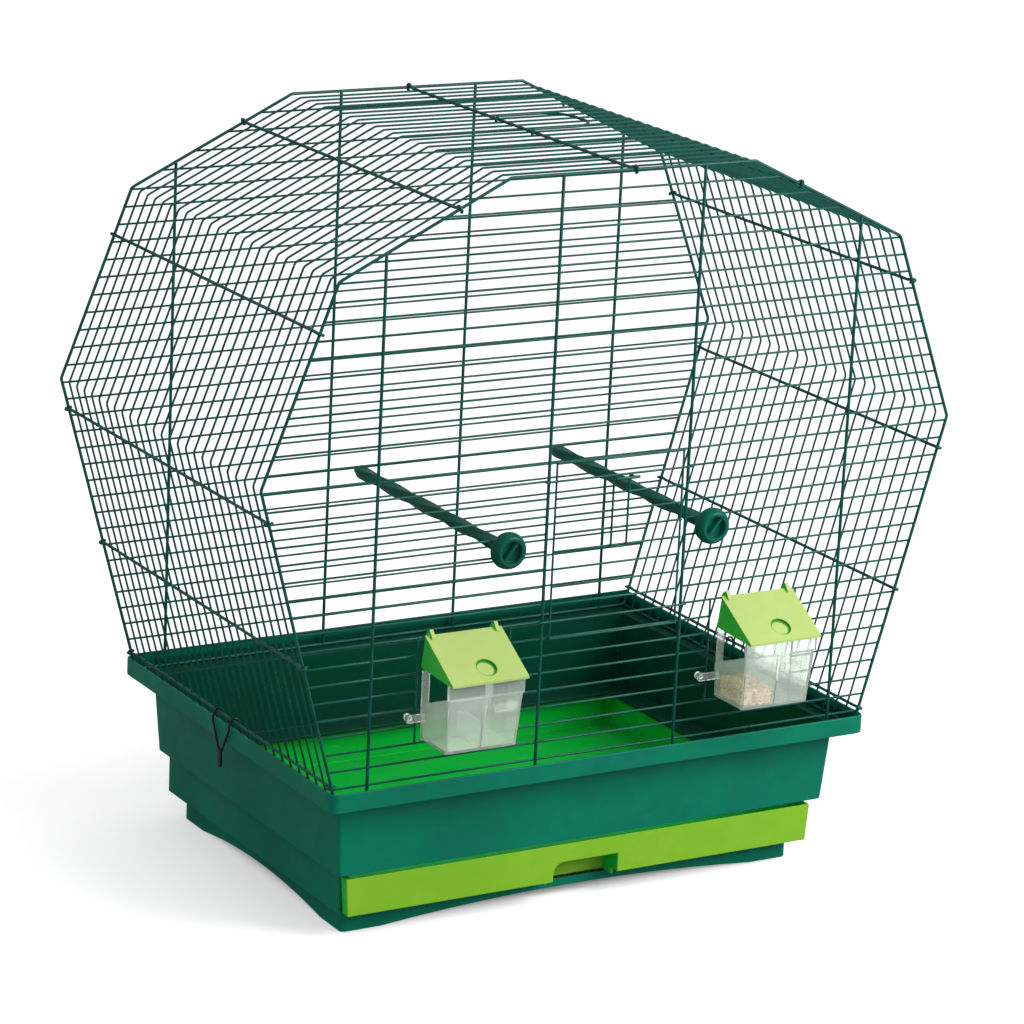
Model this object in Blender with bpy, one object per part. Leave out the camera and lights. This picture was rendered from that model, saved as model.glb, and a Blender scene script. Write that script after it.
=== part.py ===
"""A wire parakeet cage on a moulded tray, with a drawer, two feeders, two perches and a carrying handle."""
import math

import bmesh
import bpy
from mathutils import Matrix, Vector
from mathutils.geometry import delaunay_2d_cdt

# Every length is in metres. Heights are counted from the top of the tray's rim, X from the
# middle of the cage, and Y from midway between the two end panels, with the front at -Y.

# Clearances
GAP = 0.0003                      # between two pieces that touch
PIVOT_GAP = 0.0003                # between a wire and the loop that turns on it
WIRE_TO_RIM = 0.0006              # beside the wire sides, inside the rim
PANEL_TO_RIM = 0.0033             # before and behind the panels, inside the rim

# Wire top, measured to the middle of the wires
PANEL_SPACING = 0.3036
HOOP_SPACES = 25
RIM_LEVEL_HALF_WIDTH = 0.2062
WIDEST_HALF_WIDTH = 0.2646
WIDEST_HEIGHT = 0.2089
EAVES_HALF_WIDTH = 0.2140
EAVES_HEIGHT = 0.3392
ROOF_HALF_WIDTH = 0.0928
ROOF_HEIGHT = 0.3978
THIN_WIRE = 0.0015
THICK_WIRE = 0.0022
MESH_DEPTH = 0.0018
CLIP_CROSS_HEIGHT = 0.0040
LOW_CROSS_HEIGHT = 0.0880
MIDDLE_CROSS_BELOW_WIDEST = 0.0219
HIGH_CROSS_BELOW_EAVES = 0.0322
SHOULDER_CROSS_BELOW_ROOF = 0.0178

# Rows and posts of the end panels
ROW_PITCH = 0.0120
FIRST_ROW_HEIGHT = 0.0020
INNER_POST = 0.0540
OUTER_POST = 0.1810
DOOR_LOW_ROW = 7
DOOR_HIGH_ROW = 17
FEEDER_LOW_ROW = 2
FEEDER_HIGH_ROW = 8
FEEDER_INNER_WIRE = 0.0780
FEEDER_OUTER_WIRE = 0.1470

# Tray
RIM_WALL = 0.0020
RIM_CORNER = 0.0070
BODY_CORNER = 0.0035
SHELF_DROP = 0.0105
SHELF_THICKNESS = 0.0022
TRAY_WALL = 0.0022
TRAY_SIDE_INSET = 0.0140
TRAY_END_INSET = 0.0180
TRAY_SIDE_TAPER = 0.0040
TRAY_END_TAPER = 0.0030
TRAY_DEPTH = 0.0660
TRAY_FLOOR_THICKNESS = 0.0025
LEDGE_SIDE_WIDTH = 0.0168
LEDGE_END_WIDTH = 0.0198

# Base frame under the tray
BASE_SIDE_INSET = 0.0070
BASE_FRONT_INSET = 0.0110
BASE_BACK_INSET = 0.0020
BASE_WALL = 0.0022
BASE_DEPTH = 0.0307
RAIL_THICKNESS = 0.0022
RAIL_WIDTH = 0.0200
SKIRT_SIDE_INSET = 0.0070
SKIRT_FRONT_INSET = 0.0080
SKIRT_BACK_INSET = 0.0150
SKIRT_HEIGHT = 0.0170
SKIRT_ARCH_RISE = 0.0070
FOOT_LENGTH = 0.0300

# Drawer
DRAWER_WALL = 0.0018
DRAWER_HEIGHT = 0.0245
DRAWER_SIDE_GAP = 0.0018
DRAWER_BACK_GAP = 0.0028
FRONT_REACH = 0.0080
FRONT_OVERLAP = 0.0020
FRONT_TAPER = 0.0020
RECESS_LEFT = -0.0242
RECESS_RIGHT = 0.0268
RECESS_DEPTH = 0.0200
RECESS_HEIGHT = 0.0135
RECESS_DROP = 0.0044
RECESS_CORNER = 0.0080

# Sliding door and its handle
DOOR_HALF_WIDTH = 0.0490
DOOR_GUIDE_REACH = 0.0030
DOOR_HANDLE_HALF_WIDTH = 0.0060
DOOR_HANDLE_LOW = 0.1450
DOOR_HANDLE_HIGH = 0.1940
DOOR_HANDLE_OUT = 0.0070
DOOR_HANDLE_BAR_HALF = 0.0093

# Feeders
FEEDER_CENTRE = 0.1145
CUP_TOP_HALF_WIDTH = 0.0275
CUP_BOTTOM_HALF_WIDTH = 0.0258
CUP_BEHIND_PANEL = 0.0040
CUP_TOP_FRONT = 0.0350
CUP_BOTTOM_FRONT = 0.0305
CUP_WALL = 0.0014
CUP_FLOOR = 0.0016
CUP_BACK_HEIGHT = 0.0510
CUP_FRONT_HEIGHT = 0.0660
CUP_DIVIDER_HEIGHT = 0.0460
CUP_LIP_HEIGHT = 0.0090
CUP_LIP_THICKNESS = 0.0022
CUP_POST_WIDTH = 0.0055
CUP_POST_HEIGHT = 0.0740
CUP_POST_INSET = 0.0002
PEG_PAST_WIRE = 0.0046
PEG_RADIUS = 0.0013
PEG_HEAD_RADIUS = 0.0026
PEG_HEAD_LENGTH = 0.0025
PEG_ARM_WIDTH = 0.0050
PEG_ARM_THICKNESS = 0.0020
PEG_SIDES = 8
LID_HALF_WIDTH = 0.0285
LID_REACH = 0.0402
LID_TOP_RISE = 0.0017
LID_WALL = 0.0016
LID_BACK_DROP = 0.0210
LID_BACK_PAST_PANEL = 0.0020
EAR_OFFSET = 0.0240
EAR_THICKNESS = 0.0026
EAR_HEIGHT = 0.0054
EAR_WALL = 0.0020
EAR_INNER_ANGLES = (-15, 20, 55, 90, 125, 160, 195)
EAR_OUTER_ANGLES = (60, 20, -15)
DIMPLE_RADIUS = 0.0070
DIMPLE_DEPTH = 0.0007
DIMPLE_TILT = 0.0005
DIMPLE_DEEP_SIDE = -45
DIMPLE_ALONG = 0.0330
DIMPLE_OFFSET = 0.0020

# Perches and their knobs
LEFT_PERCH_X = -0.0857
RIGHT_PERCH_X = 0.0719
PERCH_ROW = 12
PERCH_REACH = 0.2010
PERCH_THICKNESS = 0.0074
PERCH_CORNER = 0.0015
PERCH_QUARTER_TURN = 0.0450
PERCH_SHOULDER_RADIUS = 0.0066
PERCH_SHOULDER_LENGTH = 0.0040
PERCH_NECK_RADIUS = 0.0035
PERCH_TIP = 0.0025
PERCH_TIP_PROFILE = ((0.67, 0.82), (1.0, 0.45))   # share of the tip's length, share of the bar's width
PERCH_STEPS_PER_QUARTER = 4
KNOB_RADIUS = 0.0125
KNOB_THICKNESS = 0.0100
KNOB_PROFILE = ((0.0, 0.0016), (0.0018, 0.0004), (0.0040, 0.0), (0.0068, 0.0005), (0.0090, 0.0017),
                (0.0100, 0.0030))         # distance from the back, and how far inside the full radius
KNOB_BORE_DEPTH = 0.0040
KNOB_RECESS_RADIUS = 0.0076
KNOB_RECESS_DEPTH = 0.0045
KNOB_RIB_THICKNESS = 0.0024
KNOB_RIB_SLANT = 50
KNOB_SIDES = 24

# Side clips
CLIP_WIRE = 0.0016
CLIP_HALF_SPAN_SPACES = 1
CLIP_FOOT_HALF_SPAN = 0.0045
CLIP_LEG_GAP = 0.0009
CLIP_CURL_ANGLES = (215, 180, 135, 90, 45, 0)
CLIP_LEG_FOOT = -0.0190
CLIP_TAB_FOOT = -0.0310
CLIP_TAB_WIDTH = 0.0050
CLIP_TAB_THICKNESS = 0.0014

# Carrying handle
HANDLE_WIRE = 0.0020
HANDLE_REACH = 0.0490
HANDLE_HALF_SPAN_SPACES = 2
HANDLE_CORNER = 0.0180
HANDLE_CURL_ANGLES = (-130, -175, -220, -270)

# How finely curves are drawn
BEND_STEPS = 4
ARCH_STEPS = 12
DIMPLE_SIDES = 16

# Sizes worked out from the ones above
PANEL_Y = PANEL_SPACING / 2
HOOP_PITCH = PANEL_SPACING / HOOP_SPACES
PANEL_FRONT = -PANEL_Y - MESH_DEPTH / 2
PANEL_INSIDE = PANEL_Y - MESH_DEPTH / 2
SIDE_SLOPE = (WIDEST_HALF_WIDTH - RIM_LEVEL_HALF_WIDTH) / WIDEST_HEIGHT
SIDE_LEAN = math.atan(SIDE_SLOPE)
WIRE_FOOT = THICK_WIRE / 2 * math.cos(SIDE_LEAN) + MESH_DEPTH / 2 * math.sin(SIDE_LEAN)
BOTTOM_WIRE_HEIGHT = -SHELF_DROP + GAP + WIRE_FOOT
RIM_INSIDE_X = RIM_LEVEL_HALF_WIDTH + THICK_WIRE / 2 + WIRE_TO_RIM
RIM_INSIDE_Y = PANEL_Y + MESH_DEPTH / 2 + PANEL_TO_RIM
RIM_X = RIM_INSIDE_X + RIM_WALL
RIM_Y = RIM_INSIDE_Y + RIM_WALL
BODY_X = RIM_X - TRAY_SIDE_INSET
BODY_Y = RIM_Y - TRAY_END_INSET
BODY_FOOT_X = BODY_X - TRAY_SIDE_TAPER
BODY_FOOT_Y = BODY_Y - TRAY_END_TAPER
BASE_TOP = -TRAY_DEPTH - GAP
BASE_FOOT = BASE_TOP - BASE_DEPTH
BASE_X = BODY_FOOT_X - BASE_SIDE_INSET
BASE_FRONT = -BODY_FOOT_Y + BASE_FRONT_INSET
BASE_BACK = BODY_FOOT_Y - BASE_BACK_INSET
RIM_HEIGHT = SKIRT_HEIGHT - BASE_FOOT
RAIL_TOP = BASE_FOOT + RAIL_THICKNESS
PLATE_FOOT = RAIL_TOP + GAP - FRONT_OVERLAP
LID_AXIS_HEIGHT = FIRST_ROW_HEIGHT + FEEDER_HIGH_ROW * ROW_PITCH
LID_FRONT = -PANEL_Y - LID_REACH
CUP_FOOT = FIRST_ROW_HEIGHT + FEEDER_LOW_ROW * ROW_PITCH + THIN_WIRE / 2 + GAP
LIP_TOP = CUP_FRONT_HEIGHT + CUP_LIP_HEIGHT
LID_FOOT = LIP_TOP + GAP
PERCH_HEIGHT = FIRST_ROW_HEIGHT + (PERCH_ROW + 0.5) * ROW_PITCH
CLIP_X = RIM_LEVEL_HALF_WIDTH + SIDE_SLOPE * CLIP_CROSS_HEIGHT
WIRE_CORNER = math.hypot(THICK_WIRE, MESH_DEPTH) / 2

# The part's origin is on the floor, under the middle of everything from the lids to the rim's back.
ORIGIN_SHIFT = Vector((0, -(LID_FRONT + RIM_Y) / 2, RIM_HEIGHT))


def clear_scene():
    """Removes every object, so that the script can be run again."""
    for item in list(bpy.data.objects):
        bpy.data.objects.remove(item)


def material(name, colour, roughness, metallic=0.0, alpha=1.0):
    """Makes a plain shader material."""
    made = bpy.data.materials.new(name)
    made.use_nodes = True
    shader = made.node_tree.nodes["Principled BSDF"]
    shader.inputs["Base Color"].default_value = (*colour, 1)
    shader.inputs["Roughness"].default_value = roughness
    shader.inputs["Metallic"].default_value = metallic
    shader.inputs["Alpha"].default_value = alpha
    return made


def finish(name, bm, look, origin=(0, 0, 0), parent=None, smooth=False):
    """Turns a mesh built in the cage's own frame into an object whose origin is at the given point."""
    origin = Vector(origin)
    bmesh.ops.translate(bm, verts=bm.verts, vec=-origin)
    bmesh.ops.recalc_face_normals(bm, faces=bm.faces)
    mesh = bpy.data.meshes.new(name)
    bm.to_mesh(mesh)
    bm.free()
    mesh.materials.append(look)
    if smooth:
        mesh.shade_smooth()
        mesh.set_sharp_from_angle(angle=math.radians(35))
    item = bpy.data.objects.new(name, mesh)
    bpy.context.collection.objects.link(item)
    item.location = origin + ORIGIN_SHIFT
    if parent:
        item.parent = parent
        item.matrix_parent_inverse = Matrix.Translation(parent.location).inverted()
    return item


def combine(target, other, operation):
    """Joins one mesh to another, or cuts it out of it, and returns the result as a new mesh."""
    pair = []
    for name, bm in (("target", target), ("other", other)):
        bmesh.ops.recalc_face_normals(bm, faces=bm.faces)
        mesh = bpy.data.meshes.new(name)
        bm.to_mesh(mesh)
        bm.free()
        item = bpy.data.objects.new(name, mesh)
        bpy.context.collection.objects.link(item)
        pair.append(item)
    boolean = pair[0].modifiers.new("combine", "BOOLEAN")
    boolean.operation = operation
    boolean.solver = "EXACT"
    boolean.object = pair[1]
    bpy.context.view_layer.update()
    evaluated = pair[0].evaluated_get(bpy.context.evaluated_depsgraph_get())
    result = bmesh.new()
    result.from_mesh(evaluated.to_mesh())
    evaluated.to_mesh_clear()
    for item in pair:
        mesh = item.data
        bpy.data.objects.remove(item)
        bpy.data.meshes.remove(mesh)
    return result


def loft(rings, closed=False):
    """Joins rings of equally many points, and caps the first and last unless they meet."""
    bm = bmesh.new()
    made = [[bm.verts.new(point) for point in ring] for ring in rings]
    pairs = list(zip(made, made[1:]))
    if closed:
        pairs.append((made[-1], made[0]))
    count = len(made[0])
    for low, high in pairs:
        for i in range(count):
            j = (i + 1) % count
            bm.faces.new((low[i], low[j], high[j], high[i]))
    if not closed:
        bm.faces.new(made[0])
        bm.faces.new(made[-1])
    return bm


def block(low, high):
    """A box from its lowest corner to its highest."""
    (x0, y0, z0), (x1, y1, z1) = low, high
    corners = ((x0, y0), (x1, y0), (x1, y1), (x0, y1))
    return loft([[(x, y, z) for x, y in corners] for z in (z0, z1)])


def prism(outline, start, end, axis):
    """Extrudes an outline along X or Y. The outline holds the other two coordinates."""
    if axis == "X":
        rings = [[(along, a, b) for a, b in outline] for along in (start, end)]
    else:
        rings = [[(a, along, b) for a, b in outline] for along in (start, end)]
    return loft(rings)


def rounded_ring(half_x, y0, y1, z, radius, steps=4, square_front=False):
    """Points round a rectangle with rounded corners, at one height."""
    ring = []
    corners = ((half_x, y1, 0), (-half_x, y1, 90), (-half_x, y0, 180), (half_x, y0, 270))
    for x, y, start in corners:
        if square_front and start >= 180:
            ring.append((x, y, z))
            continue
        centre_x = x - math.copysign(radius, x)
        centre_y = y - radius if start < 180 else y + radius
        for step in range(steps + 1):
            angle = math.radians(start + 90 * step / steps)
            ring.append((centre_x + radius * math.cos(angle), centre_y + radius * math.sin(angle), z))
    return ring


def circle_along_y(x, y, z, radius, sides):
    """Points round a circle that faces along Y."""
    angles = [math.tau * step / sides for step in range(sides)]
    return [(x + radius * math.cos(angle), y, z + radius * math.sin(angle)) for angle in angles]


def round_bar(path, radius, sides=6):
    """Sweeps a round section along a path, turning it as little as it can."""
    path = [Vector(point) for point in path]
    ahead = [(b - a).normalized() for a, b in zip(path, path[1:])]
    across = ahead[0].orthogonal().normalized()
    rings = []
    for i, point in enumerate(path):
        before = ahead[max(i - 1, 0)]
        after = ahead[min(i, len(ahead) - 1)]
        tangent = (before + after).normalized()
        across = (across - tangent * across.dot(tangent)).normalized()
        beside = tangent.cross(across)
        widen = 1 / max(before.dot(tangent), 0.5)
        bend = after - before
        bend = bend.normalized() if bend.length > 1e-6 else None
        ring = []
        for side in range(sides):
            angle = 2 * math.pi * (side + 0.5) / sides
            offset = radius * (math.cos(angle) * across + math.sin(angle) * beside)
            if bend:
                offset += bend * offset.dot(bend) * (widen - 1)
            ring.append(point + offset)
        rings.append(ring)
    return loft(rings)


def crossed_bars(bars, frame):
    """Joins crossing flat bars, each (u0, u1, v0, v1), into one plate that lies in the given frame."""
    us = sorted({round(value, 7) for bar in bars for value in bar[:2]})
    vs = sorted({round(value, 7) for bar in bars for value in bar[2:]})

    def solid(i, j):
        if not (0 <= i < len(us) - 1 and 0 <= j < len(vs) - 1):
            return False
        u = (us[i] + us[i + 1]) / 2
        v = (vs[j] + vs[j + 1]) / 2
        return any(u0 < u < u1 and v0 < v < v1 for u0, u1, v0, v1 in bars)

    bm = bmesh.new()
    corners = {}

    def corner(i, j, face):
        if (i, j, face) not in corners:
            corners[i, j, face] = bm.verts.new(frame @ Vector((us[i], vs[j], face * MESH_DEPTH / 2)))
        return corners[i, j, face]

    for i in range(len(us) - 1):
        for j in range(len(vs) - 1):
            if not solid(i, j):
                continue
            square = ((i, j), (i + 1, j), (i + 1, j + 1), (i, j + 1))
            for face in (-1, 1):
                bm.faces.new([corner(*place, face) for place in square])
            beside = ((i, j - 1), (i + 1, j), (i, j + 1), (i - 1, j))
            for edge, neighbour in enumerate(beside):
                if not solid(*neighbour):
                    a, b = square[edge], square[(edge + 1) % 4]
                    bm.faces.new((corner(*a, -1), corner(*b, -1), corner(*b, 1), corner(*a, 1)))
    return bm


def inside(point, polygon):
    """Whether a point lies within a convex outline that runs anticlockwise."""
    for a, b in zip(polygon, polygon[1:] + polygon[:1]):
        if (b[0] - a[0]) * (point[1] - a[1]) - (b[1] - a[1]) * (point[0] - a[0]) < 0:
            return False
    return True


def offset_outline(outline, distance):
    """Moves each side of a convex anticlockwise outline outwards."""
    lines = []
    for a, b in zip(outline, outline[1:] + outline[:1]):
        length = math.hypot(b[0] - a[0], b[1] - a[1])
        normal = ((b[1] - a[1]) / length, (a[0] - b[0]) / length)
        lines.append((normal, normal[0] * a[0] + normal[1] * a[1] + distance))
    moved = []
    for (n, c), (m, d) in zip(lines[-1:] + lines[:-1], lines):
        cross = n[0] * m[1] - n[1] * m[0]
        moved.append(((c * m[1] - d * n[1]) / cross, (n[0] * d - m[0] * c) / cross))
    return moved


def clip(polygon, outline):
    """The part of a polygon that lies within a convex anticlockwise outline."""
    for a, b in zip(outline, outline[1:] + outline[:1]):
        def side(point, a=a, b=b):
            return (b[0] - a[0]) * (point[1] - a[1]) - (b[1] - a[1]) * (point[0] - a[0])
        kept = []
        for p, q in zip(polygon, polygon[1:] + polygon[:1]):
            if side(p) >= 0:
                kept.append(p)
            if side(p) * side(q) < 0:
                share = side(p) / (side(p) - side(q))
                kept.append((p[0] + share * (q[0] - p[0]), p[1] + share * (q[1] - p[1])))
        polygon = kept
    return polygon


def area(polygon):
    """Area of an anticlockwise outline."""
    return sum(a[0] * b[1] - b[0] * a[1] for a, b in zip(polygon, polygon[1:] + polygon[:1])) / 2


def pierced_plate(outline, holes, frame):
    """A plate of the mesh's depth with holes through it, in the given frame."""
    points, edges = [], []
    for loop in [outline] + holes:
        first = len(points)
        points += [Vector(point) for point in loop]
        edges += [(first + i, first + (i + 1) % len(loop)) for i in range(len(loop))]
    flat, _, faces, *_ = delaunay_2d_cdt(points, edges, [], 0, 1e-7)
    bm = bmesh.new()
    sides = {}
    for face in (-1, 1):
        sides[face] = [bm.verts.new(frame @ Vector((p.x, p.y, face * MESH_DEPTH / 2))) for p in flat]
    for corner in faces:
        middle = sum((flat[i] for i in corner), Vector((0, 0))) / len(corner)
        if inside(middle, outline) and not any(inside(middle, hole) for hole in holes):
            for face in (-1, 1):
                bm.faces.new([sides[face][i] for i in corner])
    for a, b in edges:
        bm.faces.new((sides[-1][a], sides[-1][b], sides[1][b], sides[1][a]))
    return bm


def row_height(row):
    """Height of one of the panels' horizontal wires."""
    return FIRST_ROW_HEIGHT + row * ROW_PITCH


def panel_outline():
    """The wire outline of an end panel, anticlockwise as seen from the front."""
    bottom = RIM_LEVEL_HALF_WIDTH + SIDE_SLOPE * BOTTOM_WIRE_HEIGHT
    right = [(bottom, BOTTOM_WIRE_HEIGHT), (WIDEST_HALF_WIDTH, WIDEST_HEIGHT),
             (EAVES_HALF_WIDTH, EAVES_HEIGHT), (ROOF_HALF_WIDTH, ROOF_HEIGHT)]
    return right + [(-x, z) for x, z in reversed(right)]


def end_panel(name, y, has_openings, look, parent):
    """A flat wire end: a border, four posts and rows of thin wire, with the openings left out."""
    border = panel_outline()
    within = offset_outline(border, -THICK_WIRE / 2)
    rows = [BOTTOM_WIRE_HEIGHT]
    while row_height(len(rows) - 1) < ROOF_HEIGHT - ROW_PITCH / 2:
        rows.append(row_height(len(rows) - 1))
    rows.append(ROOF_HEIGHT)
    thin = THIN_WIRE / 2
    thick = THICK_WIRE / 2
    posts = [-2 * WIDEST_HALF_WIDTH, -OUTER_POST, -INNER_POST, INNER_POST, OUTER_POST, 2 * WIDEST_HALF_WIDTH]
    door = (row_height(DOOR_LOW_ROW), row_height(DOOR_HIGH_ROW))
    feeder = (row_height(FEEDER_LOW_ROW), row_height(FEEDER_HIGH_ROW))
    spaces = []
    for low, high in zip(rows, rows[1:]):
        middle = (low + high) / 2
        for left, right in zip(posts, posts[1:]):
            centre = abs(left + right) / 2
            if has_openings and centre < INNER_POST and door[0] < middle < door[1]:
                continue
            if has_openings and INNER_POST < centre < OUTER_POST and feeder[0] < middle < feeder[1]:
                inner, outer = (FEEDER_INNER_WIRE, FEEDER_OUTER_WIRE)
                near = (INNER_POST + thick, inner - thin)
                far = (outer + thin, OUTER_POST - thick)
                for a, b in (near, far):
                    a, b = (a, b) if right > 0 else (-b, -a)
                    spaces.append((a, b, low + thin, high - thin))
                continue
            spaces.append((left + thick, right - thick, low + thin, high - thin))
    if has_openings:
        spaces.append((-INNER_POST + thick, INNER_POST - thick, door[0] + thin, door[1] - thin))
        for a, b in ((FEEDER_INNER_WIRE, FEEDER_OUTER_WIRE), (-FEEDER_OUTER_WIRE, -FEEDER_INNER_WIRE)):
            spaces.append((a + thin, b - thin, feeder[0] + thin, feeder[1] - thin))
    holes = []
    for left, right, low, high in spaces:
        hole = clip([(left, low), (right, low), (right, high), (left, high)], within)
        if len(hole) > 2 and area(hole) > THICK_WIRE * THICK_WIRE:
            holes.append(hole)
    frame = Matrix(((1, 0, 0, 0), (0, 0, -1, y), (0, 1, 0, 0), (0, 0, 0, 1)))
    bm = pierced_plate(offset_outline(border, THICK_WIRE / 2), holes, frame)
    return finish(name, bm, look, (0, y, 0), parent)


def bend_trim(before, at, after):
    """How far short of a bend a flat facet stops, so that it clears the next one."""
    first = Vector((at[0] - before[0], at[1] - before[1]))
    second = Vector((after[0] - at[0], after[1] - at[1]))
    return MESH_DEPTH / 2 * math.tan(abs(first.angle(second)) / 2) + GAP / 2


def wrap_facets(look, parent):
    """The bent wire wrap, one flat facet of hoops and cross wires at a time."""
    outline = panel_outline()[:4]
    route = outline + [(-x, z) for x, z in reversed(outline)]
    names = ("wrap_right_lower", "wrap_right_upper", "wrap_right_shoulder", "wrap_roof",
             "wrap_left_shoulder", "wrap_left_upper", "wrap_left_lower")
    middle = WIDEST_HEIGHT - MIDDLE_CROSS_BELOW_WIDEST
    lower = (BOTTOM_WIRE_HEIGHT, CLIP_CROSS_HEIGHT, LOW_CROSS_HEIGHT, middle)
    upper = (EAVES_HEIGHT - HIGH_CROSS_BELOW_EAVES,)
    shoulder = (ROOF_HEIGHT - SHOULDER_CROSS_BELOW_ROOF,)
    crosses = (lower, upper, shoulder, None, shoulder, upper, lower)
    reach = PANEL_INSIDE - GAP
    made = []
    for index, name in enumerate(names):
        start, end = route[index], route[index + 1]
        length = math.hypot(end[0] - start[0], end[1] - start[1])
        along = Vector((end[0] - start[0], 0, end[1] - start[1])).normalized()
        first = -THICK_WIRE / 2
        last = length + THICK_WIRE / 2
        if index > 0:
            first = bend_trim(route[index - 1], start, end)
        if index < len(names) - 1:
            last = length - bend_trim(start, end, route[index + 2])
        heights = crosses[index]
        if heights is None:
            middles = [length / 2]
        else:
            middles = [(height - start[1]) / (end[1] - start[1]) * length for height in heights]
        bars = [(-reach, reach, middle - THICK_WIRE / 2, middle + THICK_WIRE / 2) for middle in middles]
        for hoop in range(1, HOOP_SPACES):
            y = -PANEL_Y + hoop * HOOP_PITCH
            bars.append((y - THIN_WIRE / 2, y + THIN_WIRE / 2, first, last))
        across = Vector((0, 1, 0))
        normal = across.cross(along)
        frame = Matrix((across, along, normal)).transposed().to_4x4()
        frame.translation = (start[0], 0, start[1])
        made.append(finish(name, crossed_bars(bars, frame), look, (0, 0, 0), parent))
    return made


def tray(look):
    """The upper moulding: a raised rim, the shelf that carries the wire, and a body open below."""
    inner_x = BODY_X - TRAY_WALL
    inner_y = BODY_Y - TRAY_WALL
    foot_x = BODY_FOOT_X - TRAY_WALL
    foot_y = BODY_FOOT_Y - TRAY_WALL
    open_x = foot_x - LEDGE_SIDE_WIDTH
    open_y = foot_y - LEDGE_END_WIDTH
    floor = -TRAY_DEPTH + TRAY_FLOOR_THICKNESS
    section = ((RIM_X, RIM_Y, 0, RIM_CORNER),
               (RIM_X, RIM_Y, -SHELF_DROP - SHELF_THICKNESS, RIM_CORNER),
               (BODY_X, BODY_Y, -SHELF_DROP - SHELF_THICKNESS, BODY_CORNER),
               (BODY_FOOT_X, BODY_FOOT_Y, -TRAY_DEPTH, BODY_CORNER),
               (open_x, open_y, -TRAY_DEPTH, BODY_CORNER),
               (open_x, open_y, floor, BODY_CORNER),
               (foot_x, foot_y, floor, BODY_CORNER - TRAY_WALL),
               (inner_x, inner_y, -SHELF_DROP, BODY_CORNER - TRAY_WALL),
               (RIM_INSIDE_X, RIM_INSIDE_Y, -SHELF_DROP, RIM_CORNER - RIM_WALL),
               (RIM_INSIDE_X, RIM_INSIDE_Y, 0, RIM_CORNER - RIM_WALL))
    rings = [rounded_ring(x, -y, y, z, corner) for x, y, z, corner in section]
    return finish("tray", loft(rings, closed=True), look)


def arch(half_span, middle):
    """Outline of a shallow arch under the skirt, from below the floor up to its crown."""
    floor = -RIM_HEIGHT
    radius = (half_span ** 2 + SKIRT_ARCH_RISE ** 2) / (2 * SKIRT_ARCH_RISE)
    half_angle = math.asin(half_span / radius)
    curve = []
    for step in range(ARCH_STEPS + 1):
        angle = half_angle * (1 - 2 * step / ARCH_STEPS)
        curve.append((middle + radius * math.sin(angle),
                      floor + SKIRT_ARCH_RISE - radius * (1 - math.cos(angle))))
    below = floor - SKIRT_HEIGHT
    return curve + [(middle - half_span, below), (middle + half_span, below)]


def base_frame(look, parent):
    """The lower moulding: three walls under the tray, drawer rails notched for the drawer's finger recess,
    and an arched skirt to stand on."""
    wall = BASE_WALL
    skirt_x = BASE_X - SKIRT_SIDE_INSET
    skirt_front = BASE_FRONT + SKIRT_FRONT_INSET
    skirt_back = BASE_BACK - SKIRT_BACK_INSET
    rail_x = BASE_X - RAIL_WIDTH
    rail_front = BASE_FRONT + RAIL_WIDTH
    rail_back = BASE_BACK - RAIL_WIDTH - SKIRT_BACK_INSET + SKIRT_FRONT_INSET
    corner = BODY_CORNER
    ahead = BASE_FRONT - corner
    section = ((BASE_X, ahead, BASE_BACK, BASE_TOP, corner),
               (BASE_X, ahead, BASE_BACK, BASE_FOOT, corner),
               (skirt_x, skirt_front, skirt_back, BASE_FOOT, corner),
               (skirt_x, skirt_front, skirt_back, -RIM_HEIGHT, corner),
               (skirt_x - wall, skirt_front + wall, skirt_back - wall, -RIM_HEIGHT, corner - wall),
               (skirt_x - wall, skirt_front + wall, skirt_back - wall, BASE_FOOT, corner - wall),
               (rail_x, rail_front, rail_back, BASE_FOOT, corner - wall),
               (rail_x, rail_front, rail_back, RAIL_TOP, corner - wall),
               (BASE_X - wall, ahead + wall, BASE_BACK - wall, RAIL_TOP, corner - wall),
               (BASE_X - wall, ahead + wall, BASE_BACK - wall, BASE_TOP, corner - wall))
    bm = loft([rounded_ring(x, y0, y1, z, radius) for x, y0, y1, z, radius in section], closed=True)
    mouth = block((-BASE_X - wall, ahead - wall, BASE_FOOT - wall),
                  (BASE_X + wall, BASE_FRONT, BASE_TOP + wall))
    bm = combine(bm, mouth, "DIFFERENCE")
    beside = DRAWER_WALL + DRAWER_SIDE_GAP
    notch_back = BASE_FRONT - GAP - FRONT_REACH + RECESS_DEPTH + beside
    notch = block((RECESS_LEFT - beside, BASE_FRONT - wall, PLATE_FOOT - RECESS_DROP - GAP),
                  (RECESS_RIGHT + beside, notch_back, RAIL_TOP + wall))
    bm = combine(bm, notch, "DIFFERENCE")
    middle = (skirt_front + skirt_back) / 2
    half_depth = (skirt_back - skirt_front) / 2
    for outline, start, end, axis in (
            (arch(skirt_x - FOOT_LENGTH, 0), skirt_front - wall, skirt_back + wall, "Y"),
            (arch(half_depth - FOOT_LENGTH, middle), -skirt_x - wall, skirt_x + wall, "X")):
        bm = combine(bm, prism(outline, start, end, axis), "DIFFERENCE")
    return finish("base_frame", bm, look, (0, 0, BASE_TOP), parent)


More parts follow.
